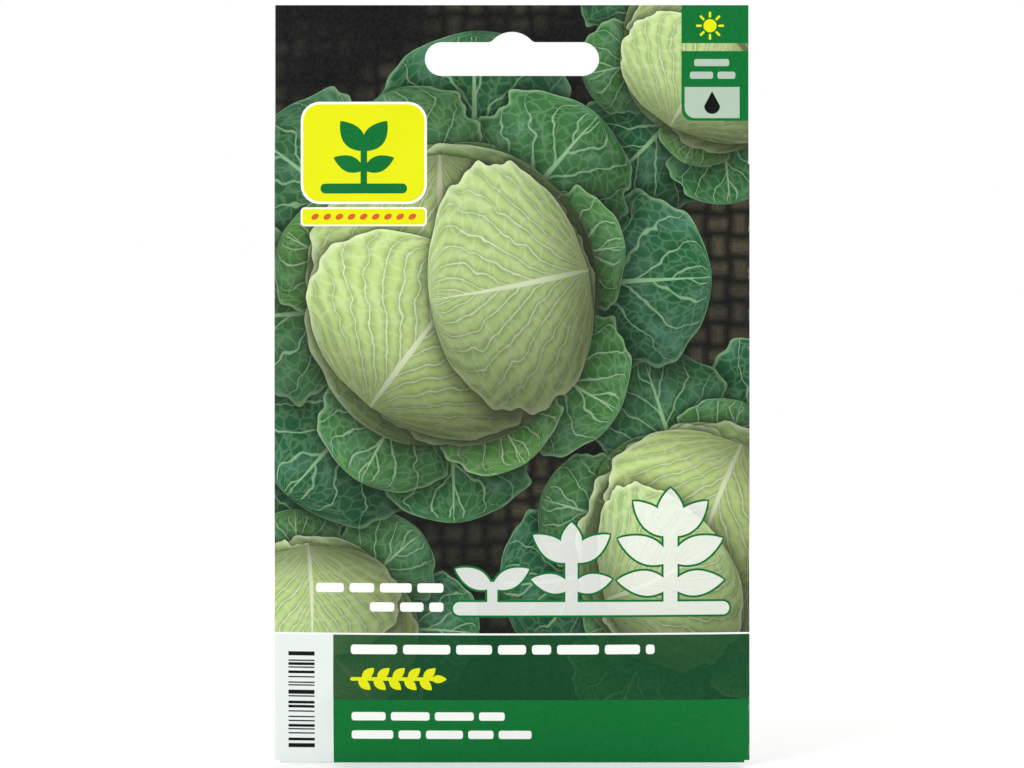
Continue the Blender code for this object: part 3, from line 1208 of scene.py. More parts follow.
@dataclass
class PrintedSheet:
    """The sheet's mesh, with what is printed on each face."""

    flat: FlatSheet
    folded: FoldedSheet
    shadow_reach: float = 3.2
    shadow_depth: float = 0.76
    shadow_way: tuple[float, float] = (0.62, -0.78)
    shadow_lean: float = 0.75
    shadow_curve: float = 1.2
    shadow_fall: float = 1.6
    batch: int = 400
    wear_reach: float = 0.75
    cut_wear: float = 0.35

    def owners(self, middles: Points) -> tuple[np.ndarray, np.ndarray]:
        """Find what is printed on each face.

        Args:
            middles: the faces' middles on the flat sheet.

        Returns:
            For each face, the number of the shape that shows and of the veil over it, or -1 for none.
        """
        items = self.flat.items
        picture = np.full(len(middles), -1)
        spot, veil = picture.copy(), picture.copy()
        for number, item in enumerate(items):
            covered = inside(middles, item.outline)
            target = veil if item.veil else picture if item.is_picture else spot
            target[covered] = number
        veiled = (veil > spot) & (picture >= 0)
        shown = np.where(veiled, picture, np.where(spot >= 0, spot, picture))
        return shown, np.where(veiled, veil, -1)

    def shadow(self, points: Points, number: int) -> Points:
        """The shade under the leaves' edges.

        Args:
            points: points of one leaf or of the ground.
            number: that shape's number.

        Returns:
            How much light the leaves above it leave at each point.
        """
        items = self.flat.items
        low, high = points.min(0) - 2 * self.shadow_reach, points.max(0) + 2 * self.shadow_reach
        starts, ends = [], []
        for other in items[number + 1 :]:
            if other.finish is not Finish.LEAF:
                continue
            a, b = other.outline, np.roll(other.outline, -1, axis=0)
            near = ((a > low) & (a < high)).all(1)
            starts.append(a[near])
            ends.append(b[near])
        if not starts or not sum(map(len, starts)):
            return np.ones(len(points))
        a, run = np.vstack(starts), np.vstack(ends) - np.vstack(starts)
        length = np.maximum((run**2).sum(1), 1e-9)
        nearest = np.zeros(len(points))
        for first in range(0, len(points), self.batch):
            p = points[first : first + self.batch]
            along = np.clip(np.einsum("pij,ij->pi", p[:, None] - a, run) / length, 0, 1)
            gap = p[:, None] - (a + along[..., None] * run)
            away = np.linalg.norm(gap, axis=2)
            towards = gap @ self.shadow_way / np.maximum(away, 1e-6)
            nearest[first : first + self.batch] = (away / (1.0 + self.shadow_lean * towards)).min(1)
        fall = self.shadow_fall * (nearest / self.shadow_reach) ** self.shadow_curve
        return 1 - self.shadow_depth * np.exp(-fall)

    def build(self, name: str) -> bpy.types.Object:
        """Make the folded sheet, with its finishes and print data on its corners.

        Args:
            name: the piece's name.

        Returns:
            The sheet, as an open surface in the row frame.
        """
        flat, triangles = self.flat.divide()
        LOG.info("sheet: %d corners, %d faces", len(flat), len(triangles))
        mesh = bpy.data.meshes.new(name)
        mesh.from_pydata(self.folded.fold(flat).tolist(), [], triangles.tolist())
        shown, veil = self.owners(flat[triangles].mean(1))
        items = self.flat.items
        corner_flat = flat[triangles]
        leaf_map = np.zeros((len(triangles), 3, 2))
        tone_and_light = np.ones((len(triangles), 3, 4))
        ink = np.zeros((len(triangles), 3, 4))
        ink[..., :3], ink[..., 3] = PAPER_WHITE, 1.0
        finish = np.full(len(triangles), Finish.SPOT.value)
        for number in np.unique(shown[shown >= 0]):
            item, faces = items[number], np.flatnonzero(shown == number)
            finish[faces] = item.finish.value
            if not item.is_picture:
                ink[faces, :, :3] = item.colour
                continue
            ink[faces] = 0.0
            points = corner_flat[faces].reshape(-1, 2)
            # Green holds the painted shadow under the leaves above; on leaves it is then scaled by their
            # painted light.
            tone_and_light[faces, :, 1] = self.shadow(points, number).reshape(-1, 3)
            if item.leaf:
                t, v = item.leaf.local(points)
                leaf_map[faces] = np.column_stack((t, v)).reshape(-1, 3, 2)
                tone_and_light[faces, :, 0] = item.leaf.age
                tone_and_light[faces, :, 1] *= item.leaf.light(points, t, v).reshape(-1, 3)
                tone_and_light[faces, :, 2] = item.leaf.tint
                tone_and_light[faces, :, 3] = item.leaf.length / 100
        for number in np.unique(veil[veil >= 0]):
            faces = np.flatnonzero(veil == number)
            ink[faces, :, :3], ink[faces, :, 3] = items[number].colour, items[number].veil
        mesh.polygons.foreach_set("material_index", finish)
        self.store(mesh, corner_flat, leaf_map, tone_and_light, ink)
        self.store_wear(mesh, flat)
        sheet = bpy.data.objects.new(name, mesh)
        bpy.context.scene.collection.objects.link(sheet)
        return sheet

    def store(
        self, mesh: bpy.types.Mesh, flat: Points, leaf_map: Points, tone_and_light: Points, ink: Points
    ) -> None:
        """Write the print data to the corners of the mesh's faces.

        Args:
            mesh: the sheet's mesh.
            flat: places on the flat sheet.
            leaf_map: shares along and across each leaf.
            tone_and_light: each leaf's age, light, tint and length.
            ink: each ink's colour and strength.
        """
        for name, values in (("Sheet", flat / 100), ("Leaf", leaf_map)):
            layer = mesh.uv_layers.new(name=name)
            layer.uv.foreach_set("vector", values.astype(np.float32).ravel())
        for name, values in (("tone_and_light", tone_and_light), ("ink", ink)):
            layer = mesh.color_attributes.new(name, "FLOAT_COLOR", "CORNER")
            layer.data.foreach_set("color", values.astype(np.float32).ravel())

    def store_wear(self, mesh: bpy.types.Mesh, flat: Points) -> None:
        """Mark how near each corner is to a fold or a cut edge, where the ink rubs thin.

        Args:
            mesh: the sheet's mesh.
            flat: its corners on the flat sheet.
        """
        s = self.flat.shape
        x, y = flat[:, 0], flat[:, 1]
        left = np.abs(x - (s.x_left + s.across_back_right) / 2)
        right = np.abs(x - (s.x_right + s.across_flap_start) / 2)
        bottom = np.abs(y + math.pi * s.bottom_fold / 2)
        cut = np.minimum(s.top - y, np.abs(x - s.across_back_left))
        nearest = np.minimum.reduce((left, right, bottom, cut + self.cut_wear))
        layer = mesh.attributes.new("wear", "FLOAT", "POINT")
        worn = np.exp(-((nearest / self.wear_reach) ** 2))
        layer.data.foreach_set("value", worn.astype(np.float32))


class NodeDesk:
    """Places nodes in a tree and links them."""

    def __init__(self, tree: bpy.types.NodeTree) -> None:
        """Work on one tree."""
        self.tree = tree

    def add(self, kind: str, inputs: dict[Any, Any] | None = None, **settings: Any) -> bpy.types.Node:
        """Add a node.

        Args:
            kind: the node's type, without the Shader prefix where it has one.
            inputs: values or sockets for its inputs, by name or number.
            settings: its other settings.

        Returns:
            The node.
        """
        node = self.tree.nodes.new(kind if kind.startswith("NodeGroup") else "ShaderNode" + kind)
        for name, value in settings.items():
            setattr(node, name, value)
        for name, value in (inputs or {}).items():
            self.feed(node.inputs[name], value)
        return node

    def feed(self, socket: bpy.types.NodeSocket, value: Any) -> None:
        """Link a socket to an input, or set the input's own value.

        Args:
            socket: the input.
            value: a socket, a number, a vector or a colour.
        """
        if isinstance(value, bpy.types.NodeSocket):
            self.tree.links.new(value, socket)
        elif socket.type == "RGBA" and len(value) == 3:
            socket.default_value = (*value, 1.0)
        else:
            socket.default_value = value

    def math(self, operation: str, *values: Any, clamp: bool = False) -> Socket:
        """A number worked out from one, two or three others."""
        node = self.add("Math", dict(enumerate(values)), operation=operation, use_clamp=clamp)
        return node.outputs[0]

    def mix(self, share: Any, first: Any, second: Any, blend: str = "MIX") -> Socket:
        """A colour between two others.

        Args:
            share: how much of the second.
            first: the first colour.
            second: the second.
            blend: the way in which they mix.

        Returns:
            The mixed colour.
        """
        node = self.add("Mix", data_type="RGBA", blend_type=blend)
        for number, value in ((0, share), (6, first), (7, second)):
            self.feed(node.inputs[number], value)
        return node.outputs[2]

    def ease(self, value: Any, low: Any, high: Any, to_low: float = 0.0, to_high: float = 1.0) -> Socket:
        """A smooth step of value from low to high."""
        settings = {"Value": value, "From Min": low, "From Max": high, "To Min": to_low, "To Max": to_high}
        return self.add("MapRange", settings, interpolation_type="SMOOTHSTEP").outputs[0]

    def noise(self, vector: Any, scale: float, detail: float = 2.0, rough: float = 0.5) -> Socket:
        """Soft random values."""
        settings = {"Vector": vector, "Scale": scale, "Detail": detail, "Roughness": rough}
        return self.add("TexNoise", settings).outputs[0]


def new_material(name: str) -> tuple[bpy.types.Material, NodeDesk, bpy.types.Node]:
    """Start a material.

    Args:
        name: its name.

    Returns:
        The material, a desk for its nodes and its shader.
    """
    made = bpy.data.materials.new(name)
    made.use_nodes = True
    return made, NodeDesk(made.node_tree), made.node_tree.nodes["Principled BSDF"]


def new_group(name: str, inputs: Sockets, outputs: Sockets) -> tuple[Any, ...]:
    """Start a node group.

    Args:
        name: the group's name.
        inputs: names and kinds of its inputs, each kind without the NodeSocket prefix.
        outputs: the same for its outputs.

    Returns:
        The group, a desk for it, its input node's sockets and its output node's.
    """
    tree = bpy.data.node_groups.new(name, "ShaderNodeTree")
    for way, sockets in (("INPUT", inputs), ("OUTPUT", outputs)):
        for title, kind in sockets:
            tree.interface.new_socket(title, in_out=way, socket_type="NodeSocket" + kind)
    desk = NodeDesk(tree)
    return tree, desk, desk.add("NodeGroupInput").outputs, desk.add("NodeGroupOutput").inputs


@dataclass(frozen=True)
class PaperSurface:
    """The satin varnish over paper: fine fibres under the gloss, the same under every ink."""

    fibre_scale: float = 2600.0
    dent_scale: float = 420.0
    cloud_scale: float = 60.0
    cloud_range: float = 0.16
    fibre_range: float = 0.10
    depth: float = 0.00002

    def group(self) -> bpy.types.NodeTree:
        """Build the node group.

        Returns:
            The group, which gives the roughness and the normal.
        """
        tree, desk, given, made = new_group(
            "paper_surface",
            (("Roughness", "Float"), ("Relief", "Float")),
            (("Roughness", "Float"), ("Normal", "Vector")),
        )
        place = desk.add("TexCoord").outputs["Object"]
        fibre = desk.noise(place, self.fibre_scale, 3.0, 0.6)
        cloud = desk.noise(place, self.cloud_scale)
        uneven = desk.math("MULTIPLY_ADD", cloud, self.cloud_range, -self.cloud_range / 2)
        fine = desk.math("MULTIPLY_ADD", fibre, self.fibre_range, -self.fibre_range / 2)
        rough = desk.math("ADD", desk.math("ADD", given["Roughness"], uneven), fine, clamp=True)
        desk.feed(made["Roughness"], rough)
        height = desk.math("MULTIPLY_ADD", desk.noise(place, self.dent_scale), 1.4, fibre)
        bump = desk.add("Bump", {"Height": height, "Strength": given["Relief"], "Distance": self.depth})
        desk.feed(made["Normal"], bump.outputs[0])
        return tree


@dataclass(frozen=True)
class RubbedInk:
    """Ink on paper: a thin ink may lie over the picture, and all ink rubs pale along folds and cut edges."""

    grain: float = 0.008
    grain_scale: float = 1900.0
    rubbing: float = 0.4
    patch_scale: float = 330.0

    def group(self) -> bpy.types.NodeTree:
        """Build the node group.

        Returns:
            The group, which gives the colour.
        """
        tree, desk, given, made = new_group("rubbed_ink", (("Picture", "Color"),), (("Color", "Color"),))
        ink = desk.add("Attribute", attribute_name="ink")
        worn = desk.add("Attribute", attribute_name="wear").outputs["Fac"]
        place = desk.add("TexCoord").outputs["Object"]
        printed = desk.mix(ink.outputs["Alpha"], given["Picture"], ink.outputs["Color"])
        specks = desk.ease(desk.noise(place, self.grain_scale, 1.0), 0.25, 0.75, 0.0, self.grain)
        printed = desk.mix(specks, printed, PAPER_WHITE)
        patches = desk.noise(place, self.patch_scale, 4.0, 0.65)
        rubbed = desk.ease(desk.math("MULTIPLY", worn, patches), 0.46, 0.72, 0.0, self.rubbing)
        desk.feed(made["Color"], desk.mix(rubbed, printed, PAPER_WHITE))
        return tree


@dataclass(frozen=True)
class LeafPattern:
    """The printed leaves' colour: pale veins with a fine net between them, painted shade in the furrows
    beside the side veins, a painted highlight along each margin, and a bluish bloom.
    """

    old: Colour = srgb(32, 96, 62)
    middle: Colour = srgb(98, 150, 78)
    young: Colour = srgb(200, 221, 150)
    old_vein: Colour = srgb(148, 190, 142)
    young_vein: Colour = srgb(228, 238, 198)
    bloom: Colour = srgb(108, 158, 138)
    cool_tint: Colour = srgb(150, 190, 168)
    warm_tint: Colour = srgb(220, 232, 152)
    # Painted shade: the dark that the blade is mixed towards beside each side vein, as in the furrows between
    # the puckers.
    furrow_shade: Colour = (0.0, 0.03, 0.015)
    rib_width: float = 0.085
    wrapped_rib: float = 0.04
    side_veins: float = 7.0
    vein_width: float = 0.085
    wander: float = 0.75
    net_scale: float = 0.42
    net_share: float = 0.34
    furrow_shade_share: float = 0.34
    side_share: float = 0.72
    rib_share: float = 0.92
    # Painted highlight along each leaf's margin.
    rim_highlight_share: float = 0.5
    tint_share: float = 0.35

    def rib(self, desk: NodeDesk, t: Any, across: Any, wrapped: Any) -> Socket:
        """The midrib, which narrows towards the tip and is finer on wrapped leaves.

        Args:
            desk: the group's desk.
            t: share along the leaf.
            across: share across it, from the midrib to either edge.
            wrapped: whether the leaf is one of the heart's.

        Returns:
            1 on the midrib and 0 beside it.
        """
        base = desk.math("MULTIPLY_ADD", wrapped, self.wrapped_rib - self.rib_width, self.rib_width)
        width = desk.math("MULTIPLY", desk.math("SUBTRACT", 1.08, t), base)
        return desk.ease(across, desk.math("MULTIPLY", width, 0.55), width, 1.0, 0.0)

    def vein_distance(self, desk: NodeDesk, t: Any, v: Any, wrapped: Any, sheet: Any) -> Socket:
        """How far the nearest side vein is.

        Args:
            desk: the group's desk.
            t: share along the leaf.
            v: share across it.
            wrapped: whether the leaf is one of the heart's, whose veins sweep further forward.
            sheet: place on the flat sheet.

        Returns:
            The distance as a share of the veins' spacing, 0 to a half.
        """
        sweep = desk.math("MULTIPLY_ADD", wrapped, 0.50, 0.36)
        lean = desk.math("MULTIPLY", desk.math("POWER", desk.math("ABSOLUTE", v), 0.8), sweep)
        run = desk.math("MULTIPLY", desk.math("SUBTRACT", t, lean), self.side_veins)
        run = desk.math("MULTIPLY_ADD", desk.math("SIGN", v), 0.25, run)
        wander = desk.math("SUBTRACT", desk.noise(sheet, 26.0, 1.0), 0.5)
        run = desk.math("MULTIPLY_ADD", wander, self.wander, run)
        middle = desk.math("SUBTRACT", desk.math("FRACT", run), 0.5)
        return desk.math("SUBTRACT", 0.5, desk.math("ABSOLUTE", middle))

    def net(self, desk: NodeDesk, t: Any, v: Any, length: Any, sheet: Any) -> Socket:
        """The fine net between the side veins, of one size on every leaf.

        Args:
            desk: the group's desk.
            t: share along the leaf.
            v: share across it.
            length: the leaf's length over 100.
            sheet: place on the flat sheet.

        Returns:
            How strongly the net shows.
        """
        size = desk.math("MULTIPLY", length, 100.0)
        aside = desk.math("MULTIPLY", v, desk.math("MULTIPLY", size, 0.42))
        place = desk.add("CombineXYZ", {0: desk.math("MULTIPLY", t, size), 1: aside}).outputs[0]
        bend = desk.add("TexNoise", {"Vector": sheet, "Scale": 60.0}).outputs["Color"]
        place = desk.add("VectorMath", {0: place, 1: bend}, operation="ADD").outputs[0]
        cells = desk.add("TexVoronoi", {"Vector": place, "Scale": self.net_scale}, feature="DISTANCE_TO_EDGE")
        return desk.ease(cells.outputs["Distance"], 0.02, 0.12, self.net_share, 0.0)

    def blade(self, desk: NodeDesk, age: Any, tint: Any, sheet: Any) -> Socket:
        """The blade's own colour, dusted with bloom on the outer leaves.

        Args:
            desk: the group's desk.
            age: 0 for the oldest leaves and 1 for the palest.
            tint: 0 for cool and 1 for warm.
            sheet: place on the flat sheet.

        Returns:
            The colour between the veins.
        """
        blade = desk.mix(desk.ease(age, 0.0, 0.55), self.old, self.middle)
        blade = desk.mix(desk.ease(age, 0.5, 1.0), blade, self.young)
        cloud = desk.ease(desk.noise(sheet, 9.0, 3.0, 0.6), 0.42, 0.72)
        dusty = desk.math("MULTIPLY", cloud, desk.ease(age, 0.0, 0.8, 0.62, 0.12))
        blade = desk.mix(dusty, blade, self.bloom)
        tinted = desk.mix(1.0, blade, desk.mix(tint, self.cool_tint, self.warm_tint), "MULTIPLY")
        return desk.mix(self.tint_share, blade, tinted)

    def group(self) -> bpy.types.NodeTree:
        """Build the node group.

        Returns:
            The group, which gives the colour before the painted light.
        """
        tree, desk, given, made = new_group(
            "leaf_pattern",
            (("Leaf", "Vector"), ("Age", "Float"), ("Tint", "Float"), ("Length", "Float")),
            (("Color", "Color"),),
        )
        t, v, _ = desk.add("SeparateXYZ", {0: given["Leaf"]}).outputs
        across = desk.math("ABSOLUTE", v)
        sheet = desk.add("UVMap", uv_map="Sheet").outputs[0]
        wrapped = desk.ease(given["Age"], 0.62, 0.72)
        away = self.vein_distance(desk, t, v, wrapped, sheet)
        blade = self.blade(desk, given["Age"], given["Tint"], sheet)
        # Painted shade: the blade darkens towards each side vein, where the puckered leaf dips into a furrow.
        furrow_shade_mask = desk.ease(away, 0.02, 0.42, 1.0, 0.0)
        blade = desk.mix(furrow_shade_mask, blade, desk.mix(self.furrow_shade_share, blade, self.furrow_shade))
        vein = desk.mix(desk.ease(given["Age"], 0.1, 1.0), self.old_vein, self.young_vein)
        net = self.net(desk, t, v, given["Length"], sheet)
        colour = desk.mix(net, blade, desk.mix(0.55, blade, vein))
        thin = desk.math("MULTIPLY", desk.math("SUBTRACT", 1.12, across), self.vein_width)
        side = desk.ease(away, desk.math("MULTIPLY", thin, 0.3), thin, self.side_share, 0.0)
        colour = desk.mix(side, colour, vein)
        rib = desk.math("MULTIPLY", self.rib(desk, t, across, wrapped), self.rib_share)
        colour = desk.mix(rib, colour, vein)
        # Painted highlight: the margin is lightened towards the pale vein colour.
        rim = desk.ease(across, 0.93, 0.995, 0.0, self.rim_highlight_share)
        desk.feed(made["Color"], desk.mix(rim, colour, vein))
        return tree


@dataclass(frozen=True)
class WovenGround:
    """The picture's dark ground: the shaded weave of a basket, fading to black."""

    dark: Colour = srgb(8, 12, 11)
    straw: Colour = srgb(80, 76, 60)
    strands: float = 24.0
    sway: float = 0.012
    fibre_long: float = 420.0
    fibre_wide: float = 50.0

    def group(self) -> bpy.types.NodeTree:
        """Build the node group.

        Returns:
            The group, which gives the colour.
        """
        tree, desk, given, made = new_group("woven_ground", (("Sheet", "Vector"),), (("Color", "Color"),))
        sheet = given["Sheet"]
        bent = desk.add("TexNoise", {"Vector": sheet, "Scale": 9.0, "Detail": 2.0}).outputs["Color"]
        bent = desk.add("VectorMath", {0: bent, 1: (self.sway,) * 3, 2: sheet}, operation="MULTIPLY_ADD")
        places = desk.add("SeparateXYZ", {0: bent.outputs[0]}).outputs
        across, up, _ = (desk.math("MULTIPLY", value, self.strands) for value in places)
        cell = desk.math("ADD", desk.math("FLOOR", across), desk.math("FLOOR", up))
        flat = desk.math("GREATER_THAN", desk.math("MODULO", desk.math("ABSOLUTE", cell), 2.0), 0.5)
        bows = [desk.math("MULTIPLY", desk.math("PINGPONG", value, 0.5), 2.0) for value in (across, up)]
        over = desk.add("Mix", {0: flat, 2: bows[0], 3: bows[1]}).outputs[0]
        along = desk.add("Mix", {0: flat, 2: bows[1], 3: bows[0]}).outputs[0]
        weave = desk.math("MULTIPLY", desk.ease(over, 0.05, 0.9, 0.1), desk.ease(along, 0.0, 0.5, 0.35))
        strands = []
        for stretch in ((self.fibre_long, self.fibre_wide, 1.0), (self.fibre_wide, self.fibre_long, 1.0)):
            drawn = desk.add("VectorMath", {0: sheet, 1: stretch}, operation="MULTIPLY").outputs[0]
            strands.append(desk.noise(drawn, 1.0))
        fibres = desk.add("Mix", {0: flat, 2: strands[0], 3: strands[1]}).outputs[0]
        lit = desk.math("MULTIPLY", weave, desk.ease(desk.noise(sheet, 3.2), 0.36, 0.70))
        lit = desk.math("MULTIPLY", lit, desk.ease(fibres, 0.25, 0.7, 0.45, 1.0))
        desk.feed(made["Color"], desk.mix(lit, self.dark, self.straw))
        return tree


@dataclass
class PrintFinishes:
    """The sheet's four materials, which share one varnish."""

    roughness: float = 0.42
    relief: float = 0.35
    specular: float = 0.12
    bare_roughness: float = 0.82
    bare_relief: float = 0.8

    def __post_init__(self) -> None:
        """Build the shared node groups."""
        self.surface = PaperSurface().group()
        self.ink = RubbedInk().group()

    def start(self, name: str, relief: float, rough: float) -> tuple[Any, NodeDesk, Any]:
        """A material with the paper's surface.

        Args:
            name: its name.
            relief: strength of the fibres' relief.
            rough: its roughness.

        Returns:
            The material, a desk for its nodes and its shader.
        """
        made, desk, shader = new_material(name)
        surface = desk.add("Group", {"Roughness": rough, "Relief": relief}, node_tree=self.surface)
        desk.feed(shader.inputs["Roughness"], surface.outputs["Roughness"])
        desk.feed(shader.inputs["Normal"], surface.outputs["Normal"])
        desk.feed(shader.inputs["Specular IOR Level"], self.specular)
        return made, desk, shader

    def printed(self, name: str, picture: Callable[[NodeDesk], Any]) -> bpy.types.Material:
        """A varnished material: a picture's colour with the ink and its wear over it.

        Args:
            name: its name.
            picture: adds the picture's nodes at a desk and gives their colour.

        Returns:
            The material.
        """
        made, desk, shader = self.start(name, self.relief, self.roughness)
        ink = desk.add("Group", {"Picture": picture(desk)}, node_tree=self.ink)
        desk.feed(shader.inputs["Base Color"], ink.outputs["Color"])
        return made

    def leaf(self, desk: NodeDesk) -> Socket:
        """The printed leaves, in their painted light.

        Args:
            desk: the material's desk.

        Returns:
            Their colour.
        """
        # The attribute's green channel is the painted light and painted shadow that scale the leaf colour.
        tone_and_light = desk.add("Attribute", attribute_name="tone_and_light")
        age, light, tint = desk.add("SeparateColor", {0: tone_and_light.outputs["Color"]}).outputs
        leaf_map = desk.add("UVMap", uv_map="Leaf").outputs[0]
        given = {"Leaf": leaf_map, "Age": age, "Tint": tint, "Length": tone_and_light.outputs["Alpha"]}
        pattern = desk.add("Group", given, node_tree=LeafPattern().group())
        return desk.add("VectorMath", {0: pattern.outputs[0], "Scale": light}, operation="SCALE").outputs[0]

    def ground(self, desk: NodeDesk) -> Socket:
        """The picture's dark ground."""
        sheet = desk.add("UVMap", uv_map="Sheet").outputs[0]
        return desk.add("Group", {"Sheet": sheet}, node_tree=WovenGround().group()).outputs[0]

    def bare(self) -> bpy.types.Material:
        """Unprinted paper, inside the packet and along its cut edges.

        Returns:
            The material.
        """
        made, desk, shader = self.start("bare_paper", self.bare_relief, self.bare_roughness)
        fibre = desk.noise(desk.add("TexCoord").outputs["Object"], 900.0, 4.0, 0.6)
        colour = desk.mix(fibre, srgb(226, 222, 208), srgb(246, 244, 236))
        desk.feed(shader.inputs["Base Color"], colour)
        return made

    def all(self) -> list[bpy.types.Material]:
        """Make the materials.

        Returns:
            Them, in the order of Finish.
        """
        leaf = self.printed("print_leaf", self.leaf)
        ground = self.printed("print_ground", self.ground)
        spot = self.printed("print_spot", lambda desk: PAPER_WHITE)
        return [leaf, ground, spot, self.bare()]


def apply_modifiers(thing: bpy.types.Object) -> None:
    """Apply an object's modifiers in order.

    Args:
        thing: the object, which is then the only selected one.
    """
    bpy.ops.object.select_all(action="DESELECT")
    thing.select_set(True)
    bpy.context.view_layer.objects.active = thing
    for modifier in list(thing.modifiers):
        bpy.ops.object.modifier_apply(modifier=modifier.name)


@dataclass
class PaperPacket:
    """The folded, printed sheet."""

    shape: PacketShape
    folded: FoldedSheet
    sharp: float = math.radians(42)
    map_rim: float = 0.01
    bare_scale: float = 0.2
    bare_top: float = 0.82
    cells_left: float = 0.25
    cells_in_row: int = 120
    cell: float = 0.006
    cell_filled: float = 0.7

    def build(self) -> bpy.types.Object:
        """Print, fold and thicken the sheet.

        Returns:
            The finished piece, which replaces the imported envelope.
        """
        items: list[Printed] = []
        FrontPrint(self.shape, items).compose()
        BackPrint(self.shape, items).compose()
        sheet = PrintedSheet(FlatSheet(self.shape, items), self.folded).build("printed_packet")
        for finish in PrintFinishes().all():
            sheet.data.materials.append(finish)
        wall = sheet.modifiers.new("thickness", "SOLIDIFY")
        wall.thickness = self.shape.paper * MM
        wall.offset = 0
        wall.use_even_offset = True
        wall.material_offset = wall.material_offset_rim = len(Finish)
        apply_modifiers(sheet)
        bpy.ops.object.shade_smooth_by_angle(angle=self.sharp)
        self.lay_out(sheet.data)
        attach(sheet, "root")
        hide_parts("envelope")
        return sheet

    def lay_out(self, mesh: bpy.types.Mesh) -> None:
        """Give the sheet a map for baking: the print, its bare side smaller and its cut edges in cells.

        Args:
            mesh: the finished sheet's mesh.
        """
        sheet = np.empty(2 * len(mesh.loops), np.float32)
        mesh.uv_layers["Sheet"].uv.foreach_get("vector", sheet)
        sheet = sheet.reshape(-1, 2)
        total, finish = (np.empty(len(mesh.polygons), np.int32) for _ in range(2))
        mesh.polygons.foreach_get("loop_total", total)
        mesh.polygons.foreach_get("material_index", finish)
        face = np.repeat(np.arange(len(total)), total)
        flat = (sheet - sheet.min(0)) / float(np.ptp(sheet, axis=0).max())
        bare = (finish[face] == Finish.BARE.value)[:, None]
        rim, top = self.map_rim, self.bare_top
        placed = np.where(bare, flat * self.bare_scale + (rim, top), flat * (1 - 2 * rim) + rim)
        edges = np.flatnonzero(total == 4)
        row, column = np.divmod(np.arange(len(edges)), self.cells_in_row)
        cells = np.column_stack((column, row)) * self.cell + (self.cells_left, top)
        corner = np.array(((0, 0), (1, 0), (1, 1), (0, 1))) * self.cell * self.cell_filled
        placed[total[face] == 4] = (cells[:, None] + corner).reshape(-1, 2)
        layer = mesh.uv_layers.new(name="OFBake")
        layer.uv.foreach_set("vector", placed.astype(np.float32).ravel())
        LOG.info("sheet: %d faces, %d of them on cut edges", len(total), len(edges))


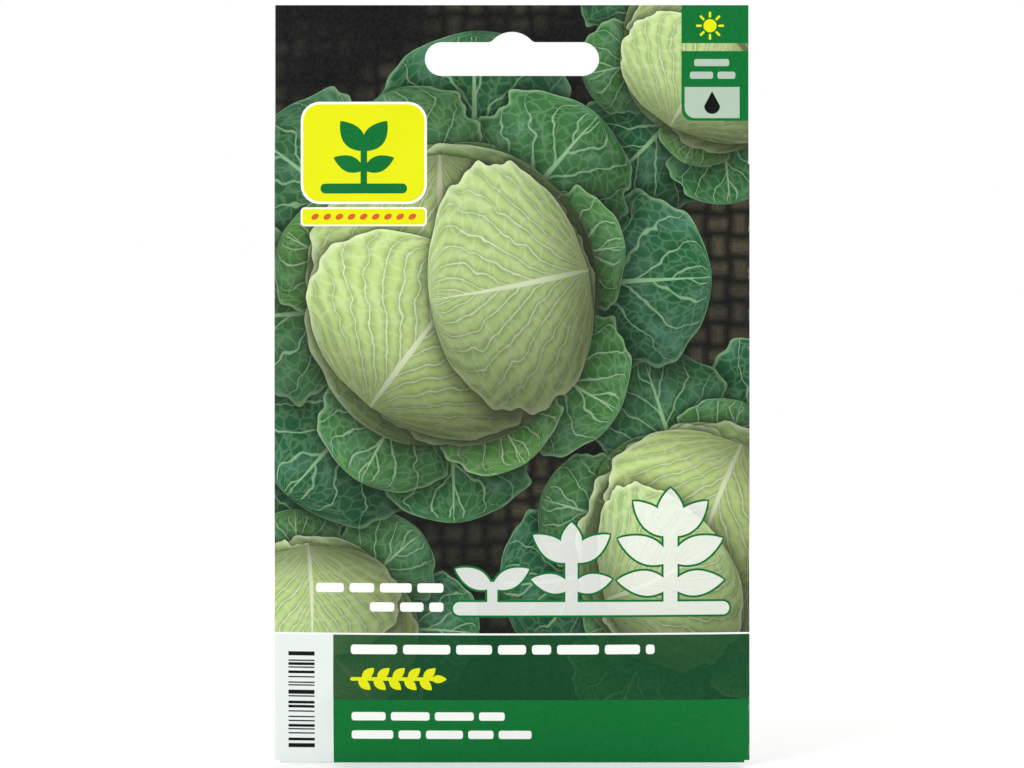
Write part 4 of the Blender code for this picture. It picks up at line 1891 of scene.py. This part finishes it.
@dataclass
class Seeds:
    """The heap of seeds at the bottom of the packet."""

    shape: PacketShape
    radius: float = 1.0
    clearance: float = 0.3
    pitch: float = 1.9
    rise: float = 1.74
    sway: float = 0.3
    rows: tuple[int, ...] = (21, 16, 11, 6)
    halvings: int = 30
    shrink: float = 0.97
    subdivisions: int = 3
    flattening: tuple[float, float, float] = (1.0, 0.94, 0.97)
    dimple: float = 0.07
    dimple_start: float = 0.9
    turns: int = 17

    def room(self, x: float, up: float) -> float:
        """The clear space between the panels' smooth shapes."""
        front, back = self.panels(x, up)
        return back - front - self.shape.paper

    def panels(self, x: float, up: float) -> tuple[float, float]:
        """The panels' smooth shapes at one place.

        Args:
            x: the place across.
            up: its height above the bottom fold.

        Returns:
            The front panel's y and the back panel's.
        """
        s = self.shape
        bulge = float(s.bulge(np.array(x), np.array(up)))
        return s.y_front - s.front_bulge * bulge, float(s.back_layer(np.array(up))) + s.back_bulge * bulge

    def lowest(self, x: float) -> float:
        """Where a seed stops against both panels.

        Args:
            x: its place across.

        Returns:
            Its height above the bottom fold.
        """
        low, high = 0.0, self.shape.body / 4
        for _ in range(self.halvings):
            middle = (low + high) / 2
            if self.room(x, middle) < 2 * (self.radius + self.clearance):
                low = middle
            else:
                high = middle
        return high

    def places(self) -> Points:
        """Lay the seeds in rows that fit into each other, swaying from front to back in turn.

        Returns:
            Each seed's x, y and height above the bottom fold.
        """
        found = []
        for row, count in enumerate(self.rows):
            for i in range(count):
                x = (i - (count - 1) / 2) * self.pitch
                up = self.lowest(x) + row * self.rise
                slack = self.room(x, up) / 2 - self.radius - self.clearance
                sway = min(self.sway, max(0.0, slack)) * (1 if (i + row) % 2 else -1)
                found.append((x, sum(self.panels(x, up)) / 2 + sway, up))
        return np.array(found)

    def pattern(self) -> bpy.types.Object:
        """Model one seed: a ball, a little flattened, with a dimple at its top.

        Returns:
            The seed, in the middle of the scene.
        """
        bpy.ops.object.select_all(action="DESELECT")
        radius = self.radius * self.shrink * MM
        bpy.ops.mesh.primitive_ico_sphere_add(subdivisions=self.subdivisions, radius=radius)
        pattern = bpy.context.active_object
        bpy.ops.object.mode_set(mode="EDIT")
        bpy.ops.mesh.select_all(action="SELECT")
        bpy.ops.transform.resize(value=self.flattening)
        bpy.ops.mesh.select_all(action="DESELECT")
        bpy.ops.object.mode_set(mode="OBJECT")
        for vertex in pattern.data.vertices:
            vertex.select = vertex.co.z > self.dimple_start * self.radius * MM
        bpy.ops.object.mode_set(mode="EDIT")
        bpy.ops.transform.translate(value=(0, 0, -self.dimple * MM))
        bpy.ops.object.mode_set(mode="OBJECT")
        bpy.ops.object.shade_smooth()
        return pattern

    def build(self) -> bpy.types.Object:
        """Copy one seed to every place, turned at random, and join the copies.

        Returns:
            The heap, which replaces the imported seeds.
        """
        draw = random.Random(self.turns)
        pattern = self.pattern()
        copies = []
        for x, y, up in self.places():
            seed = pattern.copy()
            seed.data = pattern.data.copy()
            bpy.context.scene.collection.objects.link(seed)
            seed.location = Vector((x, y, up + self.shape.z_fold)) * MM
            seed.rotation_euler = [draw.uniform(0, math.tau) for _ in range(3)]
            copies.append(seed)
        bpy.data.objects.remove(pattern)
        bpy.ops.object.select_all(action="DESELECT")
        for seed in copies:
            seed.select_set(True)
        bpy.context.view_layer.objects.active = copies[0]
        bpy.ops.object.join()
        bpy.ops.object.transform_apply(location=True, rotation=True, scale=True)
        heap = bpy.context.active_object
        heap.name = heap.data.name = "seed_heap"
        heap.data.materials.append(self.coat())
        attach(heap, "root")
        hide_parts("seeds")
        return heap

    def coat(self) -> bpy.types.Material:
        """The seeds' dull, pitted brown coat.

        Returns:
            The material.
        """
        made, desk, shader = new_material("seed_coat")
        place = desk.add("TexCoord").outputs["Object"]
        patches = desk.ease(desk.noise(place, 900.0, 3.0, 0.6), 0.3, 0.7)
        pits = desk.add("TexVoronoi", {"Vector": place, "Scale": 6500.0}).outputs["Distance"]
        desk.feed(shader.inputs["Base Color"], desk.mix(patches, srgb(46, 30, 24), srgb(98, 66, 44)))
        desk.feed(shader.inputs["Roughness"], desk.ease(patches, 0.0, 1.0, 0.5, 0.72))
        bump = desk.add("Bump", {"Height": pits, "Strength": 0.5, "Distance": 0.00004})
        desk.feed(shader.inputs["Normal"], bump.outputs[0])
        return made


@dataclass
class GlueFilm:
    """One dried film between two layers of paper, with its ends, its edges and the layer in front of it."""

    name: str
    node: str
    low: float
    high: float
    edges: Callable[[Points], tuple[Points, Points]]
    layer: Callable[[Points, Points], Points]
    spacing: float = 0.8
    thickness: float = 0.08

    def build(self, shape: PacketShape, finish: bpy.types.Material) -> bpy.types.Object:
        """Lay the film.

        Args:
            shape: the packet's shape.
            finish: the film's material.

        Returns:
            The film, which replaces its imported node.
        """
        bpy.ops.object.select_all(action="DESELECT")
        left, right = self.edges(np.array([self.low]))
        columns = math.ceil(float(right[0] - left[0]) / self.spacing)
        rows = math.ceil((self.high - self.low) / self.spacing)
        bpy.ops.mesh.primitive_grid_add(x_subdivisions=columns, y_subdivisions=rows, size=1.0)
        film = bpy.context.active_object
        film.name = film.data.name = self.name
        flat = np.array([vertex.co for vertex in film.data.vertices]) + 0.5
        up = self.low + flat[:, 1] * (self.high - self.low)
        left, right = self.edges(up)
        x = left + flat[:, 0] * (right - left)
        placed = np.column_stack((x, self.layer(x, up) + shape.layer_step / 2, up + shape.z_fold)) * MM
        film.data.vertices.foreach_set("co", placed.astype(np.float32).ravel())
        wall = film.modifiers.new("thickness", "SOLIDIFY")
        wall.thickness = self.thickness * MM
        wall.offset = 0
        apply_modifiers(film)
        film.data.materials.append(finish)
        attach(film, "root")
        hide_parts(self.node)
        return film


@dataclass
class GluedLaps:
    """The films that hold the side seam, the bottom flap and the header."""

    shape: PacketShape
    folded: FoldedSheet
    margin: float = 1.0
    flap_share: float = 10 / 12

    def seam_edges(self, up: Points) -> tuple[Points, Points]:
        """The side seam's film, from near the inner flap's cut edge to near the back panel's.

        Args:
            up: heights above the bottom fold.

        Returns:
            Its left and right edge at each height.
        """
        inner = self.shape.width / 2 - self.shape.side_flap + self.margin
        outer = self.shape.width / 2 - self.shape.back_setback - self.margin
        return np.full_like(up, inner), np.full_like(up, outer)

    def flap_edges(self, up: Points) -> tuple[Points, Points]:
        """The bottom flap's film, which tapers as the flap does."""
        half = self.shape.flap_half_width(up) * self.flap_share
        return -half, half

    def inner_flap(self, x: Points, up: Points) -> Points:
        """The inner side flap's middle surface."""
        return self.shape.y_inner_flap + self.folded.back_out(x, up)

    def back_panel(self, x: Points, up: Points) -> Points:
        """The back panel's middle surface."""
        return self.shape.back_layer(up) + self.folded.back_out(x, up)

    def build(self, header: bpy.types.Object) -> list[bpy.types.Object]:
        """Lay the films behind the panels, and give the header's own packed film their finish.

        Args:
            header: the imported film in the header, whose shape is right.

        Returns:
            The three films.
        """
        s, finish = self.shape, self.finish()
        start = s.row_height(1)
        seam_end, flap_end = s.row_height(s.seam_rows - 1), s.row_height(s.flap_rows - 1)
        films = (
            GlueFilm("seam_film", "side_seam_glue", start, seam_end, self.seam_edges, self.inner_flap),
            GlueFilm("flap_film", "bottom_flap_glue", start, flap_end, self.flap_edges, self.back_panel),
        )
        header.data.materials.clear()
        header.data.materials.append(finish)
        return [*(film.build(s, finish) for film in films), header]

    def finish(self) -> bpy.types.Material:
        """Dried glue: cloudy, cream and a little glossy.

        Returns:
            The material.
        """
        made, desk, shader = new_material("dried_glue")
        cloud = desk.noise(desk.add("TexCoord").outputs["Object"], 240.0, 3.0)
        desk.feed(shader.inputs["Base Color"], desk.mix(cloud, srgb(214, 206, 178), srgb(238, 234, 218)))
        desk.feed(shader.inputs["Roughness"], desk.ease(cloud, 0.3, 0.7, 0.25, 0.5))
        return made


@dataclass
class Studio:
    """The plain pale floor, the lights and the camera."""

    shape: PacketShape
    photo_width: int = 1024
    packet_pixels: float = 481.4
    margin: float = 0.99
    lens: float = 100.0
    sensor: float = 36.0
    floor_drop: float = 0.6
    floor_size: float = 6.0
    floor_colour: Colour = (0.86, 0.86, 0.85)
    floor_glow: float = 0.62
    near_glow: float = 0.3
    glow_reach: tuple[float, float] = (0.12, 0.85)
    floor_roughness: float = 0.9
    floor_specular: float = 0.1
    surround: float = 0.44
    lamp_size: float = 0.5
    lamps: tuple[tuple[str, Colour, float], ...] = (
        ("key", (-0.55, -0.60, 0.32), 3.9), ("fill", (0.60, -0.50, 0.10), 1.3),
        ("top", (0.0, -0.05, 0.70), 1.2), ("back", (0.35, 0.65, 0.35), 3.3),
    )

    def build(self) -> None:
        """Set the stage."""
        self.floor()
        self.world()
        self.lights()
        self.camera()
        bpy.context.scene.view_settings.view_transform = "Standard"
        bpy.context.scene.view_settings.look = "None"

    def floor(self) -> None:
        """A pale floor just under the packet, with a glow that only the camera sees, faint near the packet
        and growing to white further off, so that no horizon shows.
        """
        bpy.ops.object.select_all(action="DESELECT")
        level = (self.shape.slot_to_top - self.shape.height - self.floor_drop) * MM
        bpy.ops.mesh.primitive_plane_add(size=self.floor_size, location=(0, 0, level))
        floor = bpy.context.active_object
        floor.name = "floor"
        made, desk, shader = new_material("floor")
        desk.feed(shader.inputs["Base Color"], self.floor_colour)
        desk.feed(shader.inputs["Roughness"], self.floor_roughness)
        desk.feed(shader.inputs["Specular IOR Level"], self.floor_specular)
        place = desk.add("TexCoord").outputs["Object"]
        away = desk.add("VectorMath", {0: place}, operation="LENGTH").outputs["Value"]
        glow = desk.ease(away, *self.glow_reach, self.floor_glow * self.near_glow, self.floor_glow)
        seen = desk.math("MULTIPLY", desk.add("LightPath").outputs["Is Camera Ray"], glow)
        desk.feed(shader.inputs["Emission Color"], (1.0, 1.0, 1.0))
        desk.feed(shader.inputs["Emission Strength"], seen)
        floor.data.materials.append(made)

    def world(self) -> None:
        """A white surround that looks brighter than the light it gives."""
        world = bpy.data.worlds.new("studio")
        bpy.context.scene.world = world
        world.use_nodes = True
        desk = NodeDesk(world.node_tree)
        output, light = (world.node_tree.nodes[name] for name in ("World Output", "Background"))
        desk.feed(light.inputs[0], (1.0, 1.0, 1.0))
        desk.feed(light.inputs[1], self.surround)
        seen = desk.add("Background", {0: (1.0, 1.0, 1.0), 1: 1.0})
        by_camera = desk.add("LightPath").outputs["Is Camera Ray"]
        both = desk.add("MixShader", {0: by_camera, 1: light.outputs[0], 2: seen.outputs[0]})
        desk.feed(output.inputs[0], both.outputs[0])

    def lights(self) -> None:
        """Broad, soft lamps in front, to both sides and behind."""
        centre = Vector((0, 0, self.shape.slot_to_top - self.shape.height / 2)) * MM
        for name, place, power in self.lamps:
            bpy.ops.object.light_add(type="AREA", location=centre + Vector(place))
            lamp = bpy.context.active_object
            lamp.name = name
            lamp.data.size = self.lamp_size
            lamp.data.energy = power
            lamp.rotation_euler = (-Vector(place)).to_track_quat("-Z", "Y").to_euler()

    def camera(self) -> None:
        """Straight on to the front, with the packet filling the height of the frame."""
        pixel = self.shape.width * MM / (self.packet_pixels * self.margin)
        distance = self.photo_width * pixel * self.lens / self.sensor
        front = -self.shape.front_bulge * MM / 2
        centre = (self.shape.slot_to_top - self.shape.height / 2) * MM
        bpy.ops.object.camera_add(location=(0, front - distance, centre), rotation=(math.pi / 2, 0, 0))
        camera = bpy.context.active_object
        camera.data.lens = self.lens
        camera.data.sensor_width = self.sensor
        bpy.context.scene.camera = camera


def packed_shape() -> PacketShape:
    """The packet's shape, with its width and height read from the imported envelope."""
    low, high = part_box("envelope")
    return PacketShape(width=round((high.x - low.x) / MM, 2), height=round((high.z - low.z) / MM, 2))


def main() -> None:
    """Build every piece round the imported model."""
    logging.basicConfig(level=logging.INFO, format="%(name)s: %(message)s")
    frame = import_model()
    shape = packed_shape()
    seeds = Seeds(shape)
    folded = FoldedSheet(shape, Handling(shape), seeds.places())
    Studio(shape).build()
    packet = PaperPacket(shape, folded).build()
    films = GluedLaps(shape, folded).build(frame["nodes"]["header_glue"])
    for piece in (packet, seeds.build(), *films):
        LOG.info("built %s: %d faces", piece.name, len(piece.data.polygons))


if __name__ == "__main__":
    main()
